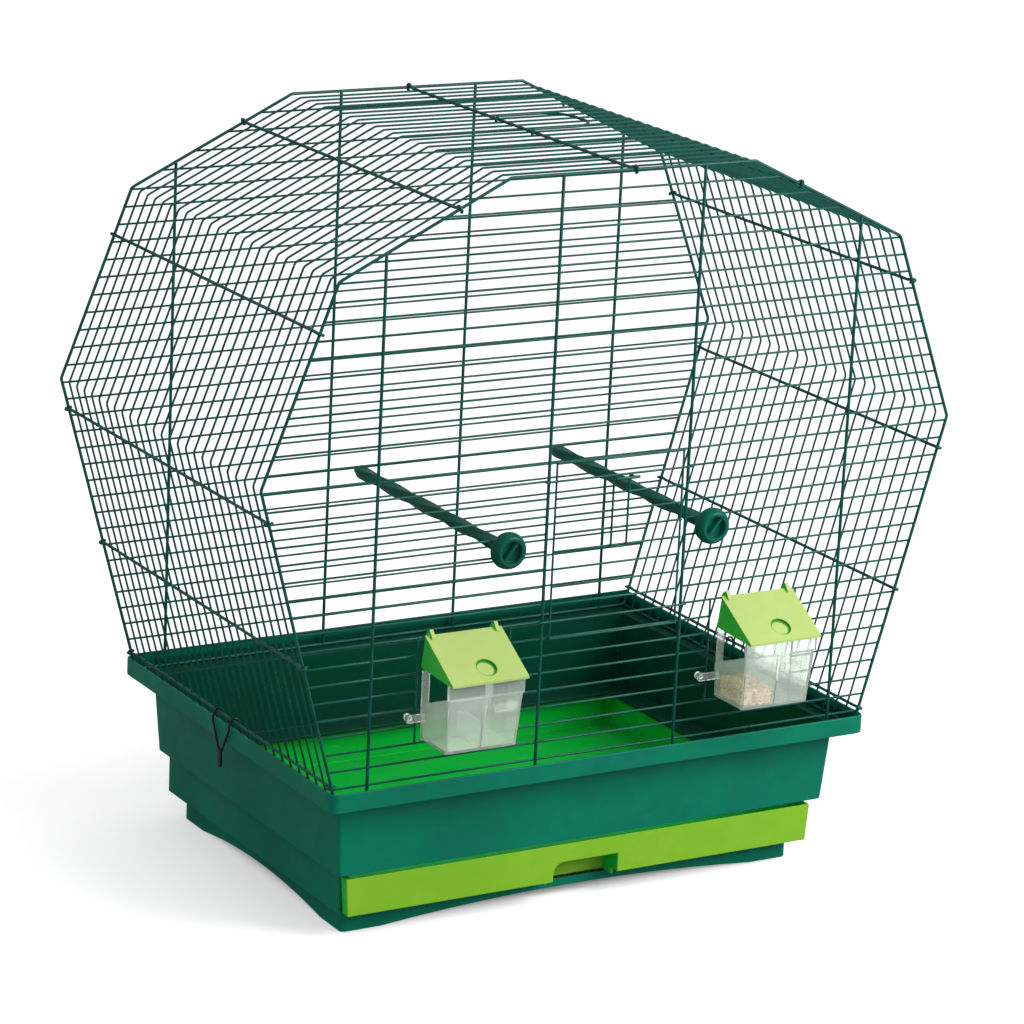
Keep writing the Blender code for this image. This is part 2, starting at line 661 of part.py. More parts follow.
def drawer(look, parent):
    """The litter drawer: an open pan, a front plate that overlaps the base, and a finger recess."""
    pan_x = BASE_X - BASE_WALL - DRAWER_SIDE_GAP
    pan_back = BASE_BACK - BASE_WALL - DRAWER_BACK_GAP
    pan_foot = RAIL_TOP + GAP
    top = pan_foot + DRAWER_HEIGHT
    plate_back = BASE_FRONT - GAP
    plate_front = plate_back - FRONT_REACH
    plate_x = BASE_X - DRAWER_WALL / 2
    plate = [[(x, plate_front, z), (-x, plate_front, z), (-x, plate_back, z), (x, plate_back, z)]
             for x, z in ((plate_x - FRONT_TAPER, PLATE_FOOT), (plate_x, top))]
    bm = loft(plate)
    pan = [rounded_ring(pan_x, plate_back - DRAWER_WALL, pan_back, z, BODY_CORNER, square_front=True)
           for z in (pan_foot, top)]
    bm = combine(bm, loft(pan), "UNION")
    hollow_x = pan_x - DRAWER_WALL
    hollow_back = pan_back - DRAWER_WALL
    hollow_front = plate_front + DRAWER_WALL
    hollow_corner = BODY_CORNER - DRAWER_WALL
    hollow = [rounded_ring(hollow_x, hollow_front, hollow_back, z, hollow_corner, square_front=True)
              for z in (pan_foot + DRAWER_WALL, top + DRAWER_HEIGHT)]
    bm = combine(bm, loft(hollow), "DIFFERENCE")
    recess_top = PLATE_FOOT + RECESS_HEIGHT
    for front, foot in ((plate_front + DRAWER_WALL / 2, PLATE_FOOT), (plate_back, PLATE_FOOT - RECESS_DROP)):
        housing = block(
            (RECESS_LEFT - DRAWER_WALL, front, foot),
            (RECESS_RIGHT + DRAWER_WALL, plate_front + RECESS_DEPTH + DRAWER_WALL, recess_top + DRAWER_WALL))
        bm = combine(bm, housing, "UNION")
    outline = [(RECESS_RIGHT, recess_top)]
    for step in range(BEND_STEPS + 1):
        angle = math.radians(90 + 90 * step / BEND_STEPS)
        outline.append((RECESS_LEFT + RECESS_CORNER * (1 + math.cos(angle)),
                        recess_top - RECESS_CORNER * (1 - math.sin(angle))))
    below = PLATE_FOOT - RECESS_CORNER
    outline += [(RECESS_LEFT, below), (RECESS_RIGHT, below)]
    pocket = prism(outline, plate_front - DRAWER_WALL, plate_front + RECESS_DEPTH, "Y")
    bm = combine(bm, pocket, "DIFFERENCE")
    return finish("drawer", bm, look, (0, plate_front, pan_foot), parent)


def front_door(look, parent):
    """The sliding door: a small flat grille whose guides ride in front of the inner posts."""
    y = PANEL_FRONT - GAP - MESH_DEPTH / 2
    half = DOOR_HALF_WIDTH + THIN_WIRE / 2
    low = row_height(DOOR_LOW_ROW)
    high = row_height(DOOR_HIGH_ROW)
    bars = []
    for x in (-DOOR_HALF_WIDTH, DOOR_HALF_WIDTH):
        bars.append((x - THIN_WIRE / 2, x + THIN_WIRE / 2, low - THIN_WIRE / 2, high + THIN_WIRE / 2))
    for row in range(DOOR_LOW_ROW, DOOR_HIGH_ROW + 1):
        reach = half
        if row in (DOOR_LOW_ROW + 1, DOOR_HIGH_ROW - 1):
            reach = INNER_POST + DOOR_GUIDE_REACH
        z = row_height(row)
        bars.append((-reach, reach, z - THIN_WIRE / 2, z + THIN_WIRE / 2))
    frame = Matrix(((1, 0, 0, 0), (0, 0, -1, y), (0, 1, 0, 0), (0, 0, 0, 1)))
    return finish("front_door", crossed_bars(bars, frame), look, (0, y, low), parent)


def door_handle(look, parent):
    """A bent wire on the door: two uprights that turn out at the top to a short finger bar."""
    y = PANEL_FRONT - GAP - MESH_DEPTH - GAP - THIN_WIRE / 2
    out = y - DOOR_HANDLE_OUT
    path = []
    for side in (-1, 1):
        x = side * DOOR_HANDLE_HALF_WIDTH
        points = [(x, out, DOOR_HANDLE_HIGH), (x, y - THIN_WIRE, DOOR_HANDLE_HIGH),
                  (x, y, DOOR_HANDLE_HIGH - THIN_WIRE), (x, y, DOOR_HANDLE_LOW + THIN_WIRE),
                  (x - side * THIN_WIRE, y, DOOR_HANDLE_LOW)]
        path += points if side < 0 else points[::-1]
    bm = round_bar(path, THIN_WIRE / 2)
    ends = [(x, out, DOOR_HANDLE_HIGH) for x in (-DOOR_HANDLE_BAR_HALF, DOOR_HANDLE_BAR_HALF)]
    bar = round_bar(ends, THICK_WIRE / 2, 8)
    bm = combine(bm, bar, "UNION")
    return finish("door_handle", bm, look, (0, y, DOOR_HANDLE_LOW), parent, smooth=True)


def feeder_cup(name, side, look, parent):
    """A clear seed cup with two compartments, back posts, a deep front lip and two side pegs."""
    x = side * FEEDER_CENTRE
    back = -PANEL_Y + CUP_BEHIND_PANEL
    front_low = -PANEL_Y - CUP_BOTTOM_FRONT
    front_high = -PANEL_Y - CUP_TOP_FRONT
    top, low = CUP_TOP_HALF_WIDTH, CUP_BOTTOM_HALF_WIDTH
    slope_x = (top - low) / (CUP_FRONT_HEIGHT - CUP_FOOT)
    slope_y = (front_low - front_high) / (CUP_FRONT_HEIGHT - CUP_FOOT)
    top_back = low + slope_x * (CUP_BACK_HEIGHT - CUP_FOOT)
    wall = CUP_WALL
    shell = loft([
        [(x - low, front_low, CUP_FOOT), (x + low, front_low, CUP_FOOT),
         (x + low, back, CUP_FOOT), (x - low, back, CUP_FOOT)],
        [(x - top, front_high, CUP_FRONT_HEIGHT), (x + top, front_high, CUP_FRONT_HEIGHT),
         (x + top_back, back, CUP_BACK_HEIGHT), (x - top_back, back, CUP_BACK_HEIGHT)]])
    lip = block((x - top - wall / 2, front_high - wall / 2, CUP_FRONT_HEIGHT - wall),
                (x + top + wall / 2, front_high + CUP_LIP_THICKNESS, LIP_TOP))
    bm = combine(shell, lip, "UNION")
    for hand in (-1, 1):
        edge = x + hand * (top_back - CUP_POST_INSET)
        inner = edge - hand * CUP_POST_WIDTH
        post = block((min(edge, inner), back - wall + CUP_POST_INSET, CUP_BACK_HEIGHT - CUP_POST_WIDTH),
                     (max(edge, inner), back - CUP_POST_INSET, CUP_POST_HEIGHT))
        bm = combine(bm, post, "UNION")
    peg_height = (row_height(FEEDER_LOW_ROW + 1) + row_height(FEEDER_LOW_ROW + 2)) / 2
    arm_front = PANEL_FRONT - GAP - PEG_ARM_THICKNESS
    for hand in (-1, 1):
        wire = side * (FEEDER_OUTER_WIRE if hand == side else FEEDER_INNER_WIRE)
        peg_x = wire + hand * PEG_PAST_WIRE
        arm_end = peg_x + hand * PEG_ARM_WIDTH / 2
        arm_start = x + hand * low
        arm = block((min(arm_start, arm_end), arm_front, peg_height - PEG_ARM_WIDTH / 2),
                    (max(arm_start, arm_end), PANEL_FRONT - GAP, peg_height + PEG_ARM_WIDTH / 2))
        bm = combine(bm, arm, "UNION")
        head = -PANEL_INSIDE + GAP
        rings = []
        for y, radius in ((arm_front + PEG_ARM_THICKNESS / 2, PEG_RADIUS), (head, PEG_RADIUS),
                          (head, PEG_HEAD_RADIUS), (head + PEG_HEAD_LENGTH, PEG_HEAD_RADIUS)):
            rings.append(circle_along_y(peg_x, y, peg_height, radius, PEG_SIDES))
        bm = combine(bm, loft(rings), "UNION")
    floor = CUP_FOOT + CUP_FLOOR
    above = LIP_TOP + CUP_LIP_HEIGHT
    for hand in (-1, 1):
        rings = []
        for z in (floor, above):
            outer = x + hand * (low - wall + slope_x * (z - CUP_FOOT))
            inner = x + hand * wall / 2
            front = front_low + wall - slope_y * (min(z, CUP_FRONT_HEIGHT) - CUP_FOOT)
            rear = back - wall
            rings.append([(inner, front, z), (outer, front, z), (outer, rear, z), (inner, rear, z)])
        bm = combine(bm, loft(rings), "DIFFERENCE")
    over_divider = block((x - wall, front_high + CUP_LIP_THICKNESS, CUP_DIVIDER_HEIGHT),
                         (x + wall, back - wall, above))
    bm = combine(bm, over_divider, "DIFFERENCE")
    return finish(name, bm, look, (x, -PANEL_Y, CUP_FOOT), parent)


def feeder_lid(name, side, look, parent):
    """A sloping hood with two cheeks, hung by its pointed ears on a wire of the front panel."""
    x = side * FEEDER_CENTRE
    hook_inner = math.hypot(THIN_WIRE, MESH_DEPTH) / 2 + PIVOT_GAP
    axis_y, axis_z = -PANEL_Y, LID_AXIS_HEIGHT
    back_y = axis_y - hook_inner
    back_top = axis_z + LID_TOP_RISE
    front_top = LID_FOOT + LID_WALL
    back_low = (axis_y + LID_BACK_PAST_PANEL, axis_z - LID_BACK_DROP)
    outer = [(back_y, back_top), (LID_FRONT, front_top), (LID_FRONT, LID_FOOT),
             back_low, (back_y, axis_z - hook_inner)]
    bm = prism(outer, x - LID_HALF_WIDTH, x + LID_HALF_WIDTH, "X")
    along = Vector((LID_FRONT - back_y, front_top - back_top)).normalized()
    down = Vector((-along.y, along.x)) * LID_WALL
    behind = along * -LID_REACH
    start = Vector((back_y, back_top)) + down
    end = Vector((LID_FRONT, front_top)) + down
    below = LID_FOOT - LID_REACH
    inner = [tuple(start + behind), tuple(end + along * -LID_WALL), (LID_FRONT + LID_WALL, below),
             (axis_y + LID_REACH, below), (axis_y + LID_REACH, (start + behind).y)]
    hollow = prism(inner, x - LID_HALF_WIDTH + LID_WALL, x + LID_HALF_WIDTH - LID_WALL, "X")
    bm = combine(bm, hollow, "DIFFERENCE")
    hook_outer = hook_inner + EAR_WALL
    for ear_x in (x - EAR_OFFSET, x + EAR_OFFSET):
        outline = []
        for angle in EAR_INNER_ANGLES:
            turn = math.radians(angle)
            outline.append((axis_y + hook_inner * math.cos(turn), axis_z + hook_inner * math.sin(turn)))
        outline.append((axis_y - hook_outer - EAR_WALL, axis_z - EAR_WALL))
        outline.append((axis_y - hook_outer - EAR_WALL, axis_z + hook_inner / 2))
        outline.append((axis_y - hook_inner, axis_z + EAR_HEIGHT))
        for angle in EAR_OUTER_ANGLES:
            turn = math.radians(angle)
            outline.append((axis_y + hook_outer * math.cos(turn), axis_z + hook_outer * math.sin(turn)))
        bm = combine(bm, prism(outline, ear_x - EAR_THICKNESS / 2, ear_x + EAR_THICKNESS / 2, "X"), "UNION")
    centre = Vector((back_y, back_top)) + along * DIMPLE_ALONG
    up = -down.normalized()
    rings = []
    for height, tilt in ((-DIMPLE_DEPTH, DIMPLE_TILT), (LID_WALL, 0)):
        ring = []
        for k in range(DIMPLE_SIDES):
            angle = math.tau * k / DIMPLE_SIDES
            level = height - tilt * math.cos(angle - math.radians(DIMPLE_DEEP_SIDE))
            place = centre + along * DIMPLE_RADIUS * math.sin(angle) + up * level
            ring.append((x + DIMPLE_OFFSET + DIMPLE_RADIUS * math.cos(angle), place.x, place.y))
        rings.append(ring)
    bm = combine(bm, loft(rings), "DIFFERENCE")
    return finish(name, bm, look, (x, axis_y, axis_z), parent)


def perch(name, x, look, parent):
    """A twisted square bar held at one end: a neck through the panel, a shoulder and a rounded tip."""

    def square_ring(y, turn, scale=1.0):
        half = PERCH_THICKNESS / 2 * scale
        cut = PERCH_CORNER * scale
        round_off = half - cut / 3
        ring = []
        for quarter in range(4):
            angle = turn + quarter * math.pi / 2
            for a, b in ((half, -half + cut), (half, half - cut), (round_off, round_off)):
                ring.append((x + a * math.cos(angle) - b * math.sin(angle), y,
                             PERCH_HEIGHT + a * math.sin(angle) + b * math.cos(angle)))
        return ring

    shoulder = -PANEL_INSIDE + GAP
    neck_end = PANEL_FRONT - GAP - KNOB_BORE_DEPTH + GAP
    bar_start = shoulder + PERCH_SHOULDER_LENGTH
    bar_end = -PANEL_Y + PERCH_REACH
    square_end = bar_end - PERCH_TIP
    sides = len(square_ring(bar_start, 0))
    rings = [circle_along_y(x, y, PERCH_HEIGHT, radius, sides)
             for y, radius in ((neck_end, PERCH_NECK_RADIUS), (shoulder, PERCH_NECK_RADIUS),
                               (shoulder, PERCH_SHOULDER_RADIUS), (bar_start, PERCH_SHOULDER_RADIUS))]
    steps = round((square_end - bar_start) / PERCH_QUARTER_TURN * PERCH_STEPS_PER_QUARTER)
    for step in range(steps + 1):
        y = bar_start + (square_end - bar_start) * step / steps
        rings.append(square_ring(y, math.pi / 2 * (y - bar_start) / PERCH_QUARTER_TURN))
    turn = math.pi / 2 * (square_end - bar_start) / PERCH_QUARTER_TURN
    for along, scale in PERCH_TIP_PROFILE:
        rings.append(square_ring(square_end + PERCH_TIP * along, turn, scale))
    return finish(name, loft(rings), look, (x, -PANEL_Y, PERCH_HEIGHT), parent, smooth=True)


def perch_knob(name, x, look, parent):
    """The domed screw knob outside the panel: a blind bore behind, and a finger rib in its hollow face."""
    back = PANEL_FRONT - GAP
    front = back - KNOB_THICKNESS
    bore = PERCH_NECK_RADIUS + GAP
    profile = [(back - KNOB_BORE_DEPTH, bore), (back, bore)]
    profile += [(back - along, KNOB_RADIUS - inset) for along, inset in KNOB_PROFILE]
    floor = front + KNOB_RECESS_DEPTH
    profile += [(front, KNOB_RECESS_RADIUS), (floor, KNOB_RECESS_RADIUS)]
    bm = loft([circle_along_y(x, y, PERCH_HEIGHT, radius, KNOB_SIDES) for y, radius in profile])
    half = KNOB_RIB_THICKNESS / 2
    reach = (KNOB_RECESS_RADIUS + KNOB_RADIUS - KNOB_PROFILE[-1][1]) / 2
    rib = block((-reach, front + half, -half), (reach, floor + half, half))
    bmesh.ops.rotate(rib, verts=rib.verts, matrix=Matrix.Rotation(-math.radians(KNOB_RIB_SLANT), 3, "Y"))
    bmesh.ops.translate(rib, verts=rib.verts, vec=(x, 0, PERCH_HEIGHT))
    bm = combine(bm, rib, "UNION")
    return finish(name, bm, look, (x, back, PERCH_HEIGHT), parent)


def side_clip(name, side, look, parent):
    """A bent spring wire that turns on the lowest side wire and hangs over the rim, with a finger tab."""
    radius = CLIP_WIRE / 2
    curl = WIRE_CORNER + PIVOT_GAP + radius
    leg_x = RIM_X + radius + CLIP_LEG_GAP
    path = []
    for hand in (-1, 1):
        points = []
        y = hand * CLIP_HALF_SPAN_SPACES * HOOP_PITCH
        for angle in CLIP_CURL_ANGLES:
            turn = math.radians(angle)
            points.append((CLIP_X + curl * math.cos(turn), y, CLIP_CROSS_HEIGHT + curl * math.sin(turn)))
        points.append((leg_x, y, CLIP_CROSS_HEIGHT - curl))
        points.append((leg_x, y, -CLIP_WIRE))
        points.append((leg_x, hand * CLIP_FOOT_HALF_SPAN, CLIP_LEG_FOOT))
        path += points if hand < 0 else points[::-1]
    wire = round_bar([(side * x, y, z) for x, y, z in path], radius)
    tab_in = side * (leg_x - CLIP_TAB_THICKNESS / 2)
    tab_out = side * (leg_x + CLIP_TAB_THICKNESS / 2)
    tab = block((min(tab_in, tab_out), -CLIP_TAB_WIDTH / 2, CLIP_TAB_FOOT),
                (max(tab_in, tab_out), CLIP_TAB_WIDTH / 2, CLIP_LEG_FOOT + radius / 2))
    bm = combine(wire, tab, "UNION")
    return finish(name, bm, look, (side * CLIP_X, 0, CLIP_CROSS_HEIGHT), parent, smooth=True)


def carry_handle(look, parent):
    """A wire bail that turns on the roof's middle cross wire and lies flat towards the right."""
    radius = HANDLE_WIRE / 2
    curl = WIRE_CORNER + PIVOT_GAP + radius
    level = ROOF_HEIGHT + curl
    path = []
    for hand in (-1, 1):
        y = hand * HANDLE_HALF_SPAN_SPACES * HOOP_PITCH
        points = []
        for angle in HANDLE_CURL_ANGLES:
            turn = math.radians(angle)
            points.append((curl * math.cos(turn), y, ROOF_HEIGHT + curl * math.sin(turn)))
        for step in range(BEND_STEPS + 1):
            angle = math.radians(90 * step / BEND_STEPS)
            points.append((HANDLE_REACH - HANDLE_CORNER + HANDLE_CORNER * math.sin(angle),
                           y - hand * HANDLE_CORNER * (1 - math.cos(angle)), level))
        path += points if hand < 0 else points[::-1]
    return finish("carry_handle", round_bar(path, radius), look, (0, 0, ROOF_HEIGHT), parent, smooth=True)


def main():
    """Builds the cage, lowest pieces first."""
    clear_scene()
    wire_green = material("wire_green", (0.01, 0.12, 0.10), 0.35)
    tray_green = material("tray_green", (0.0, 0.14, 0.10), 0.4)
    drawer_green = material("drawer_green", (0.18, 0.50, 0.03), 0.4)
    lid_green = material("lid_green", (0.50, 0.68, 0.20), 0.4)
    clear_plastic = material("clear_plastic", (0.85, 0.90, 0.88), 0.1, alpha=0.35)
    perch_green = material("perch_green", (0.0, 0.12, 0.09), 0.45)
    clip_steel = material("clip_steel", (0.08, 0.07, 0.09), 0.35, metallic=0.8)

    body = tray(tray_green)
    base_frame(tray_green, body)
    drawer(drawer_green, body)
    front = end_panel("front_panel", -PANEL_Y, True, wire_green, body)
    end_panel("back_panel", PANEL_Y, False, wire_green, front)
    wrap_facets(wire_green, front)
    door = front_door(wire_green, front)
    door_handle(wire_green, door)
    for word, side, perch_x in (("left", -1, LEFT_PERCH_X), ("right", 1, RIGHT_PERCH_X)):
        feeder_cup(word + "_feeder_cup", side, clear_plastic, front)
        feeder_lid(word + "_feeder_lid", side, lid_green, front)
        bar = perch(word + "_perch", perch_x, perch_green, front)
        perch_knob(word + "_perch_knob", perch_x, perch_green, bar)
        side_clip(word + "_clip", side, clip_steel, front)
    carry_handle(wire_green, front)


main()
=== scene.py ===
"""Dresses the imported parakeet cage: enamelled wire, soft-edged mouldings, clear cups and a plain studio."""

import functools
import logging
import math
import random
from dataclasses import dataclass
from enum import Enum
from typing import Any, Sequence

import bmesh
import bpy
from mathutils import Matrix, Vector


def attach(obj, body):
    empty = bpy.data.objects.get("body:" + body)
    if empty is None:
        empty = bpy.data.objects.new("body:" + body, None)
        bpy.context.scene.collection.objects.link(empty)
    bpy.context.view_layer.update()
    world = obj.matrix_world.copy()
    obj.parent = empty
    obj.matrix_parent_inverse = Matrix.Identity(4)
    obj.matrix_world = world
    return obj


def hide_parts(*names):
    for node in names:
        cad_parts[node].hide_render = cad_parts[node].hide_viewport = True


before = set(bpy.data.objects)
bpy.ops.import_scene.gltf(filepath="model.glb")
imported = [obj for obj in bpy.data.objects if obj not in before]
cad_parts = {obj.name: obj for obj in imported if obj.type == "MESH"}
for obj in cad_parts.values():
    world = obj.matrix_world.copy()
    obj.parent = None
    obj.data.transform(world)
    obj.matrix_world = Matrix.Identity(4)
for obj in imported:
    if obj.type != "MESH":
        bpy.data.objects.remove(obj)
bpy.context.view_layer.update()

Triple = tuple[float, float, float]
Colour = Triple
Pairs = tuple[tuple[float, float], ...]
Point = Sequence[float]
Socket = bpy.types.NodeSocket
Material = bpy.types.Material

log = logging.getLogger("cage")

# The pieces are measured in the cage's own frame, in metres: heights from the top of the tray's
# rim, Y from midway between the end panels. This moves them into the row's frame.
TO_ROW = Vector((0.0, 0.017, 0.114))

# Middle of the right lid's finger dimple, in the row's frame, before its offset along X.
DIMPLE_PLACE = Vector((0.1145, -0.1647, 0.1972))
DIMPLE_OFFSET = 0.0020

STRAIGHT = math.radians(178)  # a corner flatter than this isn't rounded
MOST_OF_HALF = 0.45  # share of a path's leg that one bend may use
END_DEPTH, END_STEP = 0.5, 0.4  # rounding of a wire's cut end, as shares of its radius and depth
END_WIDTHS = (0.6, 0.88)  # widths of the end's rings, as shares of the radius
ALIKE = 0.000002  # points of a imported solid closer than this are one
FLAT = math.radians(0.5)  # faces that differ by less than this are merged
SOFTENED_FROM = math.radians(28)  # edges that bend by more than this are rounded
HOOP_SIDES, THIN_SIDES, THICK_SIDES, BAR_SIDES = 8, 10, 12, 14  # points round a wire


class Side(Enum):
    """Left or right, as seen from the front."""

    LEFT = -1
    RIGHT = 1

    @property
    def word(self) -> str:
        """The word that starts the names of this side's pieces."""
        return self.name.lower()


class Slot(Enum):
    """The record's material slots."""

    WIRE = "wire_green"
    TRAY = "tray_green"
    DRAWER = "drawer_green"
    LID = "lid_green"
    CUP = "clear_plastic"
    PERCH = "perch_green"
    CLIP = "clip_steel"


class Effect(Enum):
    """The shared effects: the name and first value of each one's own input, and its output's name."""

    MOTTLE = ("Scale", 12.0, "Mask")
    DUST = ("Amount", 0.2, "Mask")
    SCUFFS = ("Density", 1.0, "Mask")
    WELL = ("Rim", 0.112, "Mask")
    CRESCENT = ("Radius", 0.007, "Mask")
    TURNED_AWAY = ("Amount", 1.0, "Mask")
    GRAIN = ("Scale", 1800.0, "Height")


# ---- Node trees ----


class Graph:
    """Adds nodes to one node tree and links them."""

    def __init__(self, tree: bpy.types.NodeTree) -> None:
        """Starts on a tree."""
        self.tree = tree

    def link(self, source: Socket, target: Socket) -> None:
        """Links an output to an input."""
        self.tree.links.new(source, target)

    def add(self, kind: str, inputs: dict[Any, Any] | None = None, **settings: Any) -> bpy.types.Node:
        """Adds one node.

        Args:
            kind: The node's type name.
            inputs: Values or output sockets for its inputs, by name or index.
            **settings: Properties of the node.

        Returns:
            The new node.
        """
        node = self.tree.nodes.new(kind)
        for name, value in settings.items():
            setattr(node, name, value)
        for key, value in (inputs or {}).items():
            if isinstance(value, Socket):
                self.link(value, node.inputs[key])
            else:
                node.inputs[key].default_value = value
        return node

    def maths(self, operation: str, a: Any, b: Any = 0.0) -> Socket:
        """The result of a math operation on values or sockets."""
        return self.add("ShaderNodeMath", {0: a, 1: b}, operation=operation).outputs[0]

    def product(self, *values: Any) -> Socket:
        """Values or sockets multiplied with each other, in order."""
        return functools.reduce(functools.partial(self.maths, "MULTIPLY"), values)

    def remap(self, value: Any, low: float, high: float, start: float = 0.0, end: float = 1.0) -> Socket:
        """A value moved from the range low to high into the range start to end, and held within it."""
        ranges = {"Value": value, "From Min": low, "From Max": high, "To Min": start, "To Max": end}
        return self.add("ShaderNodeMapRange", ranges).outputs[0]

    def blend(self, share: Any, a: Any, b: Any) -> Socket:
        """A mix of two colours or sockets, with the given share of the second."""
        a, b = ((*colour, 1.0) if isinstance(colour, tuple) else colour for colour in (a, b))
        return self.add("ShaderNodeMix", {0: share, 6: a, 7: b}, data_type="RGBA").outputs[2]

    def noise(self, place: Socket, scale: Any, detail: float = 2.0, roughness: float = 0.5) -> Socket:
        """A noise texture's value. The scale counts its features to the metre."""
        settings = {"Vector": place, "Scale": scale, "Detail": detail, "Roughness": roughness}
        return self.add("ShaderNodeTexNoise", settings).outputs[0]

    def split(self, vector: Socket) -> bpy.types.bpy_prop_collection:
        """The X, Y and Z of a vector."""
        return self.add("ShaderNodeSeparateXYZ", {0: vector}).outputs

    def surface(self, fact: str) -> bpy.types.bpy_prop_collection:
        """The X, Y and Z of the surface's Normal or Position."""
        return self.split(self.add("ShaderNodeNewGeometry").outputs[fact])


class EffectGraph(Graph):
    """The shader node group of one effect, with a method for each recipe."""

    def __init__(self, effect: Effect) -> None:
        """Builds the group with its named sockets.

        Args:
            effect: The effect that it gives.
        """
        label, value, result = effect.value
        super().__init__(bpy.data.node_groups.new(effect.name.lower(), "ShaderNodeTree"))
        sockets = self.tree.interface
        sockets.new_socket("Vector", in_out="INPUT", socket_type="NodeSocketVector")
        sockets.new_socket(label, in_out="INPUT", socket_type="NodeSocketFloat").default_value = value
        sockets.new_socket(result, in_out="OUTPUT", socket_type="NodeSocketFloat")
        given = self.add("NodeGroupInput")
        self.place, self.own = given.outputs[0], given.outputs[1]
        self.result = self.add("NodeGroupOutput").inputs[0]
        recipes = {Effect.MOTTLE: self.mottle, Effect.DUST: self.dust, Effect.SCUFFS: self.scuffs,
                   Effect.WELL: self.well, Effect.CRESCENT: self.crescent,
                   Effect.TURNED_AWAY: self.turned_away, Effect.GRAIN: self.grain}
        recipes[effect]()

    def mottle(self) -> None:
        """Broad soft patches, as pigment and light wear leave them on moulded or enamelled parts."""
        broad = self.noise(self.place, self.own, 3.0, 0.55)
        small = self.noise(self.place, self.product(self.own, 7.3))
        both = self.maths("ADD", self.product(broad, 0.75), self.product(small, 0.25))
        self.link(self.remap(both, 0.36, 0.64), self.result)

    def dust(self) -> None:
        """A thin film of dust on what faces up, broken by noise."""
        level = self.remap(self.surface("Normal")[2], 0.45, 0.95)
        patch = self.remap(self.noise(self.place, 38.0, 4.0, 0.6), 0.35, 0.75)
        self.link(self.product(level, patch, self.own), self.result)

    def scuffs(self) -> None:
        """Fine scratches in two directions, where a plastic moulding has been wiped and handled."""
        masks = []
        for turn, stretch in ((0.35, (60.0, 900.0, 900.0)), (-0.6, (900.0, 70.0, 900.0))):
            settings = {"Vector": self.place, "Rotation": (turn, turn * 0.5, turn), "Scale": stretch}
            place = self.add("ShaderNodeMapping", settings).outputs[0]
            masks.append(self.remap(self.noise(place, 1.0, 1.0, 0.4), 0.68, 0.74))
        region = self.remap(self.noise(self.place, 17.0), 0.5, 0.7)
        self.link(self.product(self.maths("MAXIMUM", *masks), region, self.own), self.result)

    def well(self) -> None:
        """Painted shade inside an open tray: a mask of walls that face its middle, and floors below its rim.
        """
        normal, place = self.surface("Normal"), self.split(self.place)
        across = self.product(normal[0], place[0])
        along = self.product(normal[1], self.maths("SUBTRACT", place[1], TO_ROW.y))
        inward = self.remap(self.maths("ADD", across, along), -0.010, -0.025)
        floor = self.remap(normal[2], 0.5, 0.8)
        below = self.remap(self.maths("SUBTRACT", self.own, place[2]), 0.0, 0.004)
        self.link(self.product(self.maths("MAXIMUM", inward, floor), below), self.result)

    def crescent(self) -> None:
        """Painted shade for the wall of each lid's round finger dimple: a ring that is thick on one side."""
        rings = []
        for side in Side:
            masks = []
            for shift, reach in ((0.0, 1.0), (0.0010, 0.80)):
                centre = (side.value * DIMPLE_PLACE.x + DIMPLE_OFFSET - shift, DIMPLE_PLACE.y - shift * 0.6,
                          DIMPLE_PLACE.z - shift * 0.4)
                away = self.add("ShaderNodeVectorMath", {0: self.place, 1: centre}, operation="DISTANCE")
                share = self.maths("DIVIDE", away.outputs["Value"], self.own)
                masks.append(self.remap(share, reach - 0.05, reach + 0.05))
            rings.append(self.product(self.maths("SUBTRACT", 1.0, masks[0]), masks[1]))
        self.link(self.maths("MAXIMUM", *rings), self.result)

    def turned_away(self) -> None:
        """A mask for painted shade on what is turned from the front, broken a little by noise."""
        away = self.remap(self.surface("Normal")[1], -0.35, -0.05)
        patch = self.remap(self.noise(self.place, 30.0), 0.2, 0.6, 0.85, 1.0)
        self.link(self.product(away, patch, self.own), self.result)

    def grain(self) -> None:
        """The fine texture of a mould's surface or of sprayed enamel, as a height."""
        fine = self.noise(self.place, self.own, 2.0, 0.6)
        wide = self.noise(self.place, self.product(self.own, 0.11), 1.0)
        self.link(self.maths("ADD", self.product(fine, 0.6), self.product(wide, 0.4)), self.result)


